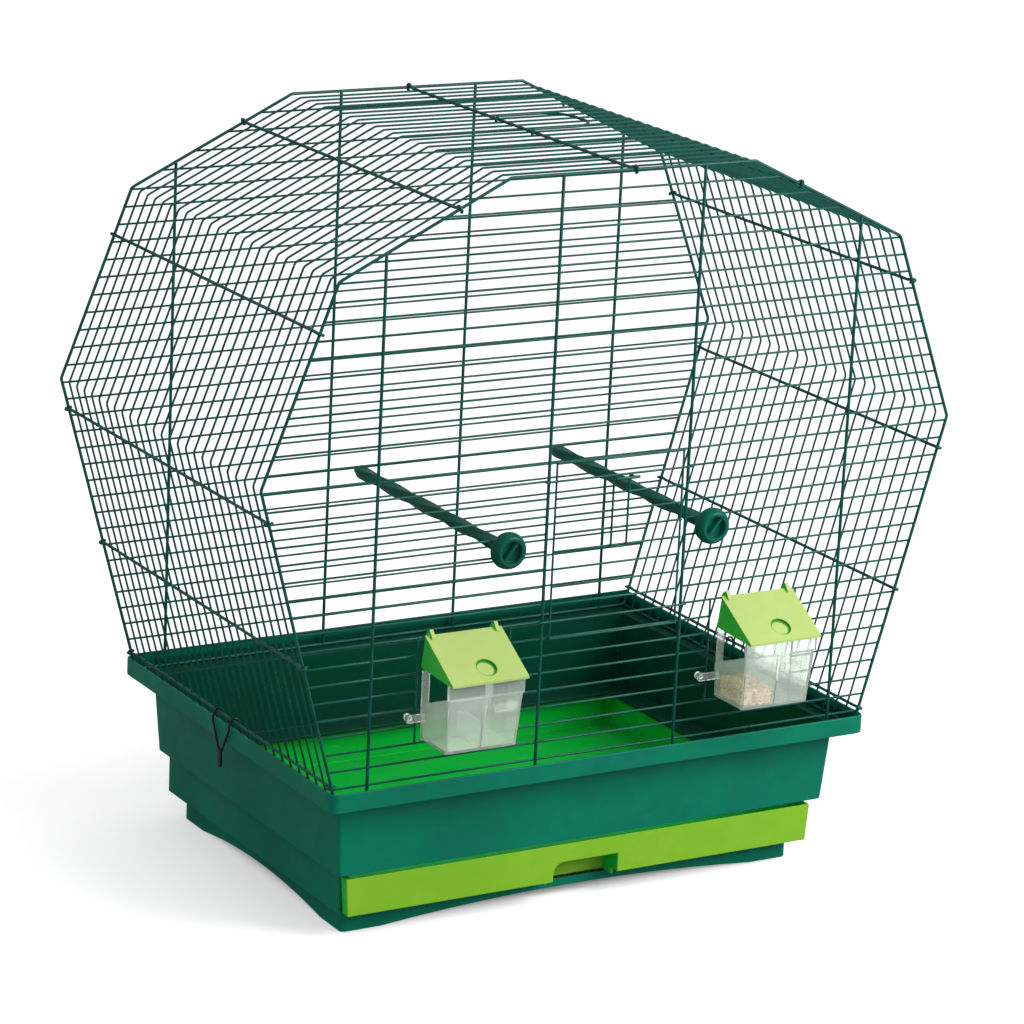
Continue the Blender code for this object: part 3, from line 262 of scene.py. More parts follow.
class MaterialGraph(Graph):
    """A node material, in which the shared effects are placed with values of its own."""

    groups: dict[Effect, EffectGraph] = {}

    def __init__(self, name: str) -> None:
        """Starts the material, its shader and the socket that gives a point's place on the object.

        Args:
            name: The material's name.
        """
        self.made = bpy.data.materials.new(name)
        self.made.use_nodes = True
        super().__init__(self.made.node_tree)
        self.shader = self.tree.nodes["Principled BSDF"]
        self.place = self.add("ShaderNodeTexCoord").outputs["Object"]

    def effect(self, effect: Effect, value: float) -> Socket:
        """Places a shared effect, which is built when it is first needed.

        Args:
            effect: The effect.
            value: The value of the effect's own input.

        Returns:
            The effect's output socket.
        """
        if effect not in self.groups:
            self.groups[effect] = EffectGraph(effect)
        tree = self.groups[effect].tree
        return self.add("ShaderNodeGroup", {0: self.place, 1: value}, node_tree=tree).outputs[0]

    def dress(self, colour: Socket, roughness: Socket, grain: Triple | None = None,
              plain: dict[str, float] | None = None) -> Material:
        """Joins a finish to the shader.

        Args:
            colour: The base colour.
            roughness: The roughness.
            grain: Grains to the metre, the bump's strength and its height in metres, or none.
            plain: Values that are the same all over, by the names of the shader's inputs.

        Returns:
            The material.
        """
        self.link(colour, self.shader.inputs["Base Color"])
        self.link(roughness, self.shader.inputs["Roughness"])
        if grain:
            scale, strength, depth = grain
            settings = {"Strength": strength, "Distance": depth, "Height": self.effect(Effect.GRAIN, scale)}
            self.link(self.add("ShaderNodeBump", settings).outputs[0], self.shader.inputs["Normal"])
        for name, value in (plain or {}).items():
            self.shader.inputs[name].default_value = value
        return self.made


# ---- Finishes ----


@dataclass(frozen=True)
class Moulding:
    """An opaque moulded plastic."""

    name: str
    tone: Colour
    deep: Colour  # its darker patches
    dusty: Colour  # dust and scratches on it
    polish: tuple[float, float] = (0.34, 0.48)  # its smoothest and roughest roughness
    dust: float = 0.1
    gloss: float = 0.12
    shade: Colour = (0.001, 0.050, 0.030)  # painted shade: the colour given to what lies inside it or is turned from the front
    rim: float = 0.112  # height below which its floors get the painted shade
    side_shade: float = 0.0  # how far the painted shade covers what is turned from the front
    dimple: float = 0.0  # radius of the painted shade ring on its finger dimple, or 0 for none
    hollow: Colour = (0.002, 0.190, 0.012)  # the painted shade on the dimple's wall
    patch_scale: float = 14.0  # features to the metre
    scratches: float = 0.5
    grain: Triple = (1500.0, 0.35, 0.00004)  # as MaterialGraph.dress takes it

    def material(self) -> Material:
        """Builds the material.

        Returns:
            The material.
        """
        graph = MaterialGraph(self.name)
        patches = graph.effect(Effect.MOTTLE, self.patch_scale)
        film = graph.effect(Effect.DUST, self.dust)
        lines = graph.effect(Effect.SCUFFS, self.scratches)
        inside = graph.effect(Effect.WELL, self.rim)
        side_shade_mask = graph.effect(Effect.TURNED_AWAY, self.side_shade)
        colour = graph.blend(patches, self.tone, self.deep)
        # Painted shade: the shade colour goes where it lies inside the tray or drawer and where it is turned
        # from the front.
        colour = graph.blend(graph.maths("MAXIMUM", inside, side_shade_mask), colour, self.shade)
        # Painted shade: a dark ring on the lid's finger dimple.
        if self.dimple:
            ring = graph.effect(Effect.CRESCENT, self.dimple)
            colour = graph.blend(graph.product(ring, 0.9), colour, self.hollow)
        colour = graph.blend(graph.product(lines, 0.25), colour, self.dusty)
        colour = graph.blend(film, colour, self.dusty)
        worn = graph.maths("MAXIMUM", graph.product(patches, 0.6), lines)
        rough = graph.remap(worn, 0.0, 1.0, *self.polish)
        return graph.dress(colour, rough, self.grain, {"Specular IOR Level": self.gloss})


@dataclass(frozen=True)
class Enamel:
    """Glossy enamel on wire."""

    name: str
    tone: Colour
    deep: Colour  # where it lies thick
    dusty: Colour
    polish: tuple[float, float] = (0.24, 0.42)
    dust: float = 0.12
    coat: float = 0.05  # weight of the clear top layer
    coat_roughness: float = 0.15
    gloss: float = 0.18
    patch_scale: float = 45.0
    grain: Triple = (2600.0, 0.25, 0.00004)

    def material(self) -> Material:
        """Builds the material.

        Returns:
            The material.
        """
        graph = MaterialGraph(self.name)
        patches = graph.effect(Effect.MOTTLE, self.patch_scale)
        film = graph.effect(Effect.DUST, self.dust)
        colour = graph.blend(film, graph.blend(patches, self.tone, self.deep), self.dusty)
        rough = graph.remap(patches, 0.0, 1.0, *self.polish)
        plain = {"Specular IOR Level": self.gloss, "Coat Weight": self.coat,
                 "Coat Roughness": self.coat_roughness}
        return graph.dress(colour, rough, self.grain, plain)


@dataclass(frozen=True)
class ClearPlastic:
    """The slightly milky clear plastic of the cups."""

    name: str
    tint: Colour
    smear: Colour  # where it is smeared
    clarity: float = 0.86  # weight of the light that passes through
    ior: float = 1.3
    polish: tuple[float, float] = (0.06, 0.13)
    patch_scale: float = 60.0
    scratches: float = 0.8
    grain: Triple = (700.0, 0.2, 0.00005)

    def material(self) -> Material:
        """Builds the material.

        Returns:
            The material.
        """
        graph = MaterialGraph(self.name)
        patches = graph.effect(Effect.MOTTLE, self.patch_scale)
        lines = graph.effect(Effect.SCUFFS, self.scratches)
        rough = graph.maths("ADD", graph.remap(patches, 0.0, 1.0, *self.polish), graph.product(lines, 0.1))
        return graph.dress(graph.blend(patches, self.tint, self.smear), rough, self.grain,
                           {"Transmission Weight": self.clarity, "IOR": self.ior})


@dataclass(frozen=True)
class PlatedSteel:
    """Dark plated spring steel, a little uneven."""

    name: str
    tone: Colour
    stain: Colour  # where the plating has darkened
    metallic: float = 0.8
    polish: tuple[float, float] = (0.25, 0.5)
    patch_scale: float = 160.0
    grain: Triple = (3200.0, 0.3, 0.00003)

    def material(self) -> Material:
        """Builds the material.

        Returns:
            The material.
        """
        graph = MaterialGraph(self.name)
        patches = graph.effect(Effect.MOTTLE, self.patch_scale)
        rough = graph.remap(patches, 0.0, 1.0, *self.polish)
        return graph.dress(graph.blend(patches, self.tone, self.stain), rough, self.grain,
                           {"Metallic": self.metallic})


@dataclass(frozen=True)
class SeedHusk:
    """Millet seed, pale and reddish husks mixed."""

    name: str
    pale: Colour
    red: Colour
    husk_scale: float = 330.0
    polish: tuple[float, float] = (0.4, 0.6)

    def material(self) -> Material:
        """Builds the material.

        Returns:
            The material.
        """
        graph = MaterialGraph(self.name)
        kinds = graph.remap(graph.noise(graph.place, self.husk_scale, 0.0), 0.42, 0.58)
        rough = graph.remap(kinds, 0.0, 1.0, *self.polish)
        return graph.dress(graph.blend(kinds, self.pale, self.red), rough)


Finish = Moulding | Enamel | ClearPlastic | PlatedSteel | SeedHusk

# The shade colours of the tray, drawer and lids are painted shade.
FINISHES: dict[Slot, Finish] = {
    Slot.WIRE: Enamel(
        "enamel_dark_green", (0.0005, 0.085, 0.064), (0.0005, 0.052, 0.040), (0.08, 0.24, 0.20)),
    Slot.TRAY: Moulding(
        "moulding_dark_green", (0.0, 0.165, 0.096), (0.001, 0.130, 0.082), (0.10, 0.20, 0.16), dust=0.04,
        shade=(0.0003, 0.046, 0.025)),
    Slot.DRAWER: Moulding(
        "moulding_leaf_green", (0.200, 0.430, 0.024), (0.165, 0.395, 0.020), (0.46, 0.60, 0.30), dust=0.03,
        shade=(0.002, 0.480, 0.050), rim=0.0440, side_shade=0.95),
    Slot.LID: Moulding(
        "moulding_pale_green", (0.370, 0.480, 0.150), (0.325, 0.445, 0.128), (0.62, 0.72, 0.42), dust=0.03,
        shade=(0.012, 0.480, 0.038), rim=0.0, side_shade=0.96, dimple=0.0074),
    Slot.PERCH: Moulding(
        "moulding_perch_green", (0.0005, 0.095, 0.060), (0.0005, 0.062, 0.042), (0.06, 0.22, 0.16),
        polish=(0.26, 0.42), dust=0.02, gloss=0.14, rim=0.0),
    Slot.CUP: ClearPlastic("clear_cup_plastic", (0.93, 0.99, 0.93), (0.87, 0.94, 0.87)),
    Slot.CLIP: PlatedSteel("plated_spring_steel", (0.040, 0.036, 0.044), (0.022, 0.018, 0.026)),
}
# The cups' rounded edges are milkier than their faces: clear plastic, with a painted highlight for the light
# that scatters out at its edges.
CUP_EDGE_HIGHLIGHT = ClearPlastic("clear_cup_edge_highlight", (0.92, 0.95, 0.92), (0.86, 0.90, 0.86), clarity=0.25)
HUSK = SeedHusk("millet_husk", (0.90, 0.66, 0.46), (0.74, 0.44, 0.27))


@functools.cache
def built(finish: Finish) -> Material:
    """A finish's material, which is built when it is first needed."""
    return finish.material()


# ---- Shapes ----


def rounded(points: Sequence[Point], radius: float, steps: int = 4, closed: bool = False) -> list[Vector]:
    """Rounds the corners of a path.

    Args:
        points: The path's corners.
        radius: The bend's radius.
        steps: Segments in each bend.
        closed: Whether the path returns to its start.

    Returns:
        The path's points, with an arc at each corner.
    """
    places = [Vector(point) for point in points]
    made: list[Vector] = []
    for i, corner in enumerate(places):
        back, ahead = places[i - 1] - corner, places[(i + 1) % len(places)] - corner
        if (not closed and i in (0, len(places) - 1)) or back.angle(ahead) > STRAIGHT:
            made.append(corner)
            continue
        reach = min(radius / math.tan(back.angle(ahead) / 2), back.length * MOST_OF_HALF,
                    ahead.length * MOST_OF_HALF)
        start, end = corner + back.normalized() * reach, corner + ahead.normalized() * reach
        for share in (step / steps for step in range(steps + 1)):
            made.append(start.lerp(corner, share).lerp(corner.lerp(end, share), share))
    return made


def arc(centre: Point, radius: float, start: float, end: float, steps: int, u: Point = (1, 0, 0),
        v: Point = (0, 0, 1)) -> list[Vector]:
    """Points along an arc.

    Args:
        centre: The arc's centre.
        radius: Its radius.
        start: Start angle in degrees, from u towards v.
        end: End angle in degrees.
        steps: Segments in the arc.
        u: Direction of angle 0.
        v: Direction of angle 90.

    Returns:
        The points, start first.
    """
    angles = [math.radians(start + (end - start) * step / steps) for step in range(steps + 1)]
    return [Vector(centre) + radius * (math.cos(angle) * Vector(u) + math.sin(angle) * Vector(v))
            for angle in angles]


def mirrored(half: Sequence[Point], axis: int) -> list[Vector]:
    """Makes a path whose second half mirrors its first.

    Args:
        half: The first half, from its far end to the middle.
        axis: The axis that is turned round: 0 for X, 1 for Y.

    Returns:
        The whole path.
    """
    first = [Vector(point) for point in half]
    second = [point.copy() for point in reversed(first)]
    for point in second:
        point[axis] *= -1
    return first + second


def circle(count: int, first: float = 0.0) -> list[float]:
    """Angles evenly round a circle. The first one is given as a share of a step."""
    return [math.tau * (k + first) / count for k in range(count)]


def add_object(name: str, data: bpy.types.ID) -> bpy.types.Object:
    """Adds an object to the scene.

    Args:
        name: The object's name.
        data: Its mesh, lamp or camera.

    Returns:
        The object.
    """
    made = bpy.data.objects.new(name, data)
    bpy.context.scene.collection.objects.link(made)
    return made


def place_piece(piece: bpy.types.Object, body: str, slot: Slot, *nodes: str) -> None:
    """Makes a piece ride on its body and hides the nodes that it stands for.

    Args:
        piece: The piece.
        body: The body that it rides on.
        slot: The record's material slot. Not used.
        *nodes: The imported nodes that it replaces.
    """
    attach(piece, body)
    if nodes:
        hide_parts(*nodes)
    log.info("%s rides on %s, %d faces", piece.name, body, len(piece.data.polygons))


class Shaper:
    """Collects swept wires and lofted forms in one mesh."""

    def __init__(self) -> None:
        """Starts an empty mesh."""
        self.mesh = bmesh.new()

    def loft(self, rings: Sequence[Sequence[Point]], looped: bool = False) -> None:
        """Joins rings of equally many points.

        Args:
            rings: The rings, in order.
            looped: Whether the last ring joins the first. Otherwise both ends are capped.
        """
        made = [[self.mesh.verts.new(point) for point in ring] for ring in rings]
        count = len(made[0])
        pairs = list(zip(made, made[1:]))
        if looped:
            pairs.append((made[-1], made[0]))
        for low, high in pairs:
            for i in range(count):
                j = (i + 1) % count
                self.mesh.faces.new((low[i], low[j], high[j], high[i]))
        if not looped:
            self.mesh.faces.new(made[0][::-1])
            self.mesh.faces.new(made[-1])

    def wire(self, path: Sequence[Point], radius: float, sides: int = THIN_SIDES,
             closed: bool = False) -> None:
        """Sweeps a round wire along a path, with softly rounded cut ends.

        Args:
            path: The wire's middle line.
            radius: Its radius.
            sides: Points round it.
            closed: Whether its ends meet.
        """
        places = [Vector(point) for point in path]
        scales = [1.0] * len(places)
        if not closed:
            places, scales = self._round_ends(places, radius)
        count = len(places)
        across = None
        rings = []
        for i, place in enumerate(places):
            behind = places[i - 1] if closed or i else place
            beyond = places[(i + 1) % count] if closed or i < count - 1 else place
            tangent = (beyond - behind).normalized()
            if across is None:
                across = tangent.orthogonal().normalized()
            across = (across - tangent * across.dot(tangent)).normalized()
            beside = tangent.cross(across)
            rings.append([place + radius * scales[i] * (math.cos(angle) * across + math.sin(angle) * beside)
                          for angle in circle(sides, 0.5)])
        self.loft(self._untwist(rings) if closed else rings, looped=closed)

    @staticmethod
    def _round_ends(places: list[Vector], radius: float) -> tuple[list[Vector], list[float]]:
        """Rounds off a wire's two cut ends.

        Args:
            places: The wire's middle line.
            radius: Its radius.

        Returns:
            The longer middle line, and the width of each of its rings as a share of the radius.
        """
        for _ in range(2):
            first = places[0]
            inward = (places[1] - first).normalized() * (radius * END_DEPTH)
            places = [first, first + inward * END_STEP, first + inward, *places[1:]][::-1]
        return places, [*END_WIDTHS, *[1.0] * (len(places) - 4), *END_WIDTHS[::-1]]

    @staticmethod
    def _untwist(rings: list[list[Vector]]) -> list[list[Vector]]:
        """Turns a closed wire's rings, more and more along it, so that the last one meets the first.

        Args:
            rings: The wire's rings.

        Returns:
            The turned rings.
        """
        first, last, count, total = rings[0], rings[-1], len(rings[0]), len(rings)
        best = min(range(count), key=lambda k: sum((last[(i + k) % count] - first[i]).length
                                                   for i in range(count)))
        spin = best if best <= count / 2 else best - count
        turned = [first]
        for i in range(1, total):
            middle = sum(rings[i], Vector()) / count
            axis = (rings[(i + 1) % total][0] - rings[i - 1][0]).normalized()
            turn = Matrix.Rotation(math.tau * spin / count * (i / (total - 1)), 3, axis)
            turned.append([middle + turn @ (point - middle) for point in rings[i]])
        return turned

    def lathe(self, x: float, z: float, profile: Sequence[tuple[float, float]], sides: int) -> None:
        """Turns a profile about an axis along Y.

        Args:
            x: The axis's X.
            z: Its height.
            profile: Y and radius, from one end to the other.
            sides: Points round it.
        """
        self.loft([[(x + radius * math.cos(angle), y, z + radius * math.sin(angle))
                    for angle in circle(sides)] for y, radius in profile])

    def piece(self, name: str, body: str, slot: Slot, *nodes: str, sharp: float = 40.0,
              finish: Finish | None = None) -> None:
        """Turns what has been collected into a piece in the row's frame, and places it.

        Args:
            name: The piece's name.
            body: The body that it rides on.
            slot: The record's material slot, which also gives its finish.
            *nodes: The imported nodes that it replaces.
            sharp: Edges that bend more than this many degrees stay sharp.
            finish: Its finish, where that isn't the slot's own.
        """
        bmesh.ops.translate(self.mesh, verts=self.mesh.verts, vec=TO_ROW)
        bmesh.ops.recalc_face_normals(self.mesh, faces=self.mesh.faces)
        data = bpy.data.meshes.new(name)
        self.mesh.to_mesh(data)
        self.mesh.free()
        data.materials.append(built(finish or FINISHES[slot]))
        data.shade_smooth()
        data.set_sharp_from_angle(angle=math.radians(sharp))
        place_piece(add_object(name, data), body, slot, *nodes)


def soften(node: str, name: str, width: float, body: str, slot: Slot, segments: int = 2, merged: bool = True,
           edge_finish: Finish | None = None) -> None:
    """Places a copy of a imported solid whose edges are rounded, as a mould rounds them.

    Args:
        node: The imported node, which the copy replaces.
        name: The new piece's name.
        width: How far the rounding reaches from each edge, in metres.
        body: The body that it rides on.
        slot: The record's material slot, which also gives its finish.
        segments: Segments across the rounding.
        merged: Whether flat neighbouring faces are merged first. A flat face round a hollow stays as it is.
        edge_finish: The finish of the rounded edges, where it differs.
    """
    shape = bmesh.new()
    shape.from_mesh(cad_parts[node].data)
    bmesh.ops.remove_doubles(shape, verts=shape.verts, dist=ALIKE)
    if merged:
        bmesh.ops.dissolve_limit(shape, angle_limit=FLAT, verts=shape.verts, edges=shape.edges)
    data = bpy.data.meshes.new(name)
    shape.to_mesh(data)
    shape.free()
    data.shade_smooth()
    rough = add_object(name + "_rough", data)
    bevel = rough.modifiers.new("soften", "BEVEL")
    bevel.width = width
    bevel.segments = segments
    bevel.limit_method = "ANGLE"
    bevel.angle_limit = SOFTENED_FROM
    bevel.use_clamp_overlap = True
    if edge_finish:
        bevel.material = 1
    rough.modifiers.new("split", "TRIANGULATE")
    weigh = rough.modifiers.new("weigh", "WEIGHTED_NORMAL")
    weigh.mode = "FACE_AREA"
    weigh.weight = 100
    bpy.context.view_layer.update()
    depsgraph = bpy.context.evaluated_depsgraph_get()
    final = bpy.data.meshes.new_from_object(rough.evaluated_get(depsgraph), preserve_all_data_layers=True,
                                            depsgraph=depsgraph)
    bpy.data.objects.remove(rough)
    final.name = name
    final.materials.clear()
    for finish in (FINISHES[slot], edge_finish):
        if finish:
            final.materials.append(built(finish))
    place_piece(add_object(name, final), body, slot, node)


# ---- The cage's sub-assemblies ----


@dataclass(frozen=True)
class WireShape:
    """Sizes that the wire pieces share, in the cage's own frame."""

    thin: float = 0.00075
    thick: float = 0.0011
    panel_y: float = 0.1518
    spaces: int = 25
    rim_half: float = 0.2062
    widest_half: float = 0.2646
    widest_z: float = 0.2089
    eaves_half: float = 0.2140
    eaves_z: float = 0.3392
    roof_half: float = 0.0928
    roof_z: float = 0.3978
    bottom_z: float = -0.0089
    first_row: float = 0.0020
    row_pitch: float = 0.0120
    row_count: int = 33
    inner_post: float = 0.0540
    outer_post: float = 0.1810
    bend: float = 0.0040

    @property
    def pitch(self) -> float:
        """Distance between hoops."""
        return 2 * self.panel_y / self.spaces

    @property
    def right(self) -> list[tuple[float, float]]:
        """The outline's right half from the foot to the roof, as X and height."""
        foot = self.rim_half + (self.widest_half - self.rim_half) * self.bottom_z / self.widest_z
        return [(foot, self.bottom_z), (self.widest_half, self.widest_z), (self.eaves_half, self.eaves_z),
                (self.roof_half, self.roof_z)]

    @property
    def outline(self) -> list[tuple[float, float]]:
        """The outline's corners from the right foot over the roof to the left foot."""
        return self.right + [(-x, z) for x, z in reversed(self.right)]

    def half_width(self, height: float) -> float:
        """Half the outline's width at a height.

        Args:
            height: The height.

        Returns:
            The distance from the middle to the outline.
        """
        for (x0, z0), (x1, z1) in zip(self.right, self.right[1:]):
            if z0 <= height <= z1:
                return x0 + (x1 - x0) * (height - z0) / (z1 - z0)
        return self.roof_half

    def height_at(self, x: float) -> float:
        """Height of the outline's top.

        Args:
            x: A place across the cage, under the roof or the shoulders.

        Returns:
            The height there.
        """
        (x0, z0), (x1, z1) = self.right[2:]
        return z1 if abs(x) <= x1 else z0 + (z1 - z0) * (x0 - abs(x)) / (x0 - x1)

    def row(self, index: float) -> float:
        """Height of one of the panels' rows."""
        return self.first_row + index * self.row_pitch


SHAPE = WireShape()


@dataclass
class EndPanel:
    """A flat end of round wire: a bent border, posts in front and thin rows behind them."""

    name: str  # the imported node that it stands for
    y: float
    outward: int  # -1 where the outside faces -Y, 1 where it faces +Y
    pierced: bool  # whether it has the door's and feeders' openings
    row_setback: float = 0.00045  # how far the rows lie behind the posts
    overhang: float = 0.00099  # how far the posts reach past the border's middle
    door_rows: tuple[int, int] = (7, 17)
    feeder_rows: tuple[int, int] = (2, 8)
    feeder_wires: tuple[float, float] = (0.0780, 0.1470)

    def row_spans(self, index: int) -> list[tuple[float, float]]:
        """Where one row has wire.

        Args:
            index: The row's number.

        Returns:
            Start and end of each piece of wire along X.
        """
        ends = [-SHAPE.half_width(SHAPE.row(index)), SHAPE.half_width(SHAPE.row(index))]
        if self.pierced and self.door_rows[0] < index < self.door_rows[1]:
            ends += [-SHAPE.inner_post, SHAPE.inner_post]
        if self.pierced and self.feeder_rows[0] < index < self.feeder_rows[1]:
            ends += [hand * wire for wire in self.feeder_wires for hand in (-1, 1)]
        ends.sort()
        return list(zip(ends[::2], ends[1::2]))

    def build(self) -> None:
        """Builds the panel."""
        shaper = Shaper()
        border = rounded([(x, self.y, z) for x, z in SHAPE.outline], SHAPE.bend, closed=True)
        shaper.wire(border, SHAPE.thick, THICK_SIDES, closed=True)
        behind = self.y - self.outward * self.row_setback
        for index in range(SHAPE.row_count):
            for ends in self.row_spans(index):
                shaper.wire([(x, behind, SHAPE.row(index)) for x in ends], SHAPE.thin)
        for x in (-SHAPE.outer_post, -SHAPE.inner_post, SHAPE.inner_post, SHAPE.outer_post):
            ends = (SHAPE.bottom_z - self.overhang, SHAPE.height_at(x) + self.overhang)
            shaper.wire([(x, self.y, z) for z in ends], SHAPE.thick, THICK_SIDES)
        if self.pierced:
            low, high = (SHAPE.row(row) for row in self.feeder_rows)
            for x in (wire * hand for wire in self.feeder_wires for hand in (-1, 1)):
                shaper.wire([(x, self.y, low - SHAPE.thin), (x, self.y, high + SHAPE.thin)], SHAPE.thin)
        shaper.piece(self.name + "_wires", "wire_top", Slot.WIRE, self.name)


@dataclass
class WireWrap:
    """The bent mesh between the ends: hoops inside, and cross wires over them that hook over the borders."""

    hoop_setback: float = 0.0006  # how far the hoops lie inside the cross wires
    plain_height: float = -0.0089  # the cross wires without hooks
    hooked_heights: tuple[float, ...] = (0.0040, 0.0880, 0.1870, 0.3070, 0.3800)
    hook_rise: float = 0.0055  # length over which a cross wire climbs to the border
    hook_middle: tuple[float, float] = (0.6, 0.35)  # a point of the climb, as shares of its length and height
    hook_turn: tuple[float, float] = (80.0, 265.0)  # degrees, from the cage's inside over the border
    plain_stop: float = 0.00055  # how far a wire without hooks stops short of the border's middle

    def inset_outline(self) -> list[tuple[float, float]]:
        """The hoops' outline, inside the cross wires.

        Returns:
            Its corners, as X and height.
        """
        corners = [Vector(corner) for corner in SHAPE.outline]
        legs = [(b - a).normalized() for a, b in zip(corners, corners[1:])]
        normals = [Vector((leg.y, -leg.x)) for leg in legs]
        moved = []
        for here, before, after in zip(corners, [normals[0], *normals], [*normals, normals[-1]]):
            normal = (before + after).normalized()
            place = here - normal * self.hoop_setback * (1 / normal.dot(before))
            moved.append((place.x, place.y))
        return moved

    def cross_wire(self, shaper: Shaper, x: float, z: float, outward: Vector, hooked: bool = True) -> None:
        """Adds one cross wire.

        Args:
            shaper: The mesh that it goes into.
            x: Its place across the cage.
            z: Its height.
            outward: The direction away from the cage there.
            hooked: Whether its ends hook over the borders.
        """
        lift = 2 * SHAPE.thick
        border, inward = Vector((x, -SHAPE.panel_y, z)), Vector((0, 1, 0))
        half = [border + inward * self.plain_stop]
        if hooked:
            along, up = self.hook_middle
            half = [*arc(border, lift, *self.hook_turn, steps=7, u=inward, v=outward)[::-1],
                    border + inward * self.hook_rise * along + outward * lift * up,
                    border + inward * self.hook_rise]
        shaper.wire(mirrored(half, 1), SHAPE.thick, THICK_SIDES)

    def build(self) -> None:
        """Builds the wrap."""
        shaper = Shaper()
        corners = self.inset_outline()
        for hoop in range(1, SHAPE.spaces):
            y = -SHAPE.panel_y + hoop * SHAPE.pitch
            shaper.wire(rounded([(x, y, z) for x, z in corners], SHAPE.bend, steps=3), SHAPE.thin, HOOP_SIDES)
        for z in (self.plain_height, *self.hooked_heights):
            low, high = next((a, b) for a, b in zip(SHAPE.right, SHAPE.right[1:]) if a[1] <= z <= b[1])
            along = (Vector(high) - Vector(low)).normalized()
            for hand in (-1, 1):
                outward = Vector((hand * along.y, 0, -along.x))
                self.cross_wire(shaper, hand * SHAPE.half_width(z), z, outward, z != self.plain_height)
        self.cross_wire(shaper, 0.0, SHAPE.roof_z, Vector((0, 0, 1)))
        facets = [f"wrap_{side.word}_{part}" for side in Side for part in ("lower", "upper", "shoulder")]
        shaper.piece("wrap_wires", "wire_top", Slot.WIRE, "wrap_roof", *facets)


@dataclass
class SlidingDoor:
    """The guillotine door: a small grille with two guides that curl round the posts, and its finger wire."""

    y: float = -0.1539
    half: float = 0.0490
    low_row: int = 7
    high_row: int = 17
    post_setback: float = 0.0006
    guide_tip: float = 0.0570
    guide_run: float = 0.0558  # where a guide starts to curl back
    guide_depth: float = 0.0014
    guide_bend: float = 0.0007
    handle_half: float = 0.0060
    handle_low: float = 0.1450
    handle_high: float = 0.1940
    handle_y: float = -0.1552  # its uprights, on the grille
    handle_out_y: float = -0.16285
    handle_bend: float = 0.0022
    bar_half: float = 0.0093

    def build(self) -> None:
        """Builds the door's grille and its finger wire."""
        shaper = Shaper()
        ends = (SHAPE.row(self.low_row) - SHAPE.thin, SHAPE.row(self.high_row) + SHAPE.thin)
        for x in (-self.half, self.half):
            shaper.wire([(x, self.y + self.post_setback, z) for z in ends], SHAPE.thin)
        for row in range(self.low_row, self.high_row + 1):
            z = SHAPE.row(row)
            reach = self.half + SHAPE.thin
            path = [(-reach, self.y, z), (reach, self.y, z)]
            if row in (self.low_row + 1, self.high_row - 1):
                back = self.y + self.guide_depth
                half = [(-self.guide_tip, back, z), (-self.guide_tip, self.y, z),
                        (-self.guide_run, self.y, z)]
                path = rounded(mirrored(half, 0), self.guide_bend, steps=3)
            shaper.wire(path, SHAPE.thin)
        shaper.piece("door_wires", "door", Slot.WIRE, "front_door")

        shaper = Shaper()
        half = [(-self.handle_half, y, z) for y, z in (
            (self.handle_out_y, self.handle_high), (self.handle_y, self.handle_high),
            (self.handle_y, self.handle_low))]
        shaper.wire(rounded(mirrored(half, 0), self.handle_bend, steps=5), SHAPE.thin, THICK_SIDES)
        shaper.wire([(x, self.handle_out_y, self.handle_high) for x in (-self.bar_half, self.bar_half)],
                    SHAPE.thick, BAR_SIDES)
        shaper.piece("door_finger_wire", "door", Slot.WIRE, "door_handle")


@dataclass
class Mouldings:
    """The tray, the base frame under it and the litter drawer, by how far their edges are rounded."""

    tray_edge: float = 0.0006
    base_edge: float = 0.0005
    drawer_edge: float = 0.0006

    def build(self) -> None:
        """Builds the three mouldings."""
        soften("tray", "tray_moulding", self.tray_edge, "base", Slot.TRAY, 3)
        soften("base_frame", "base_moulding", self.base_edge, "base", Slot.TRAY)
        soften("drawer", "drawer_moulding", self.drawer_edge, "litter_drawer", Slot.DRAWER)


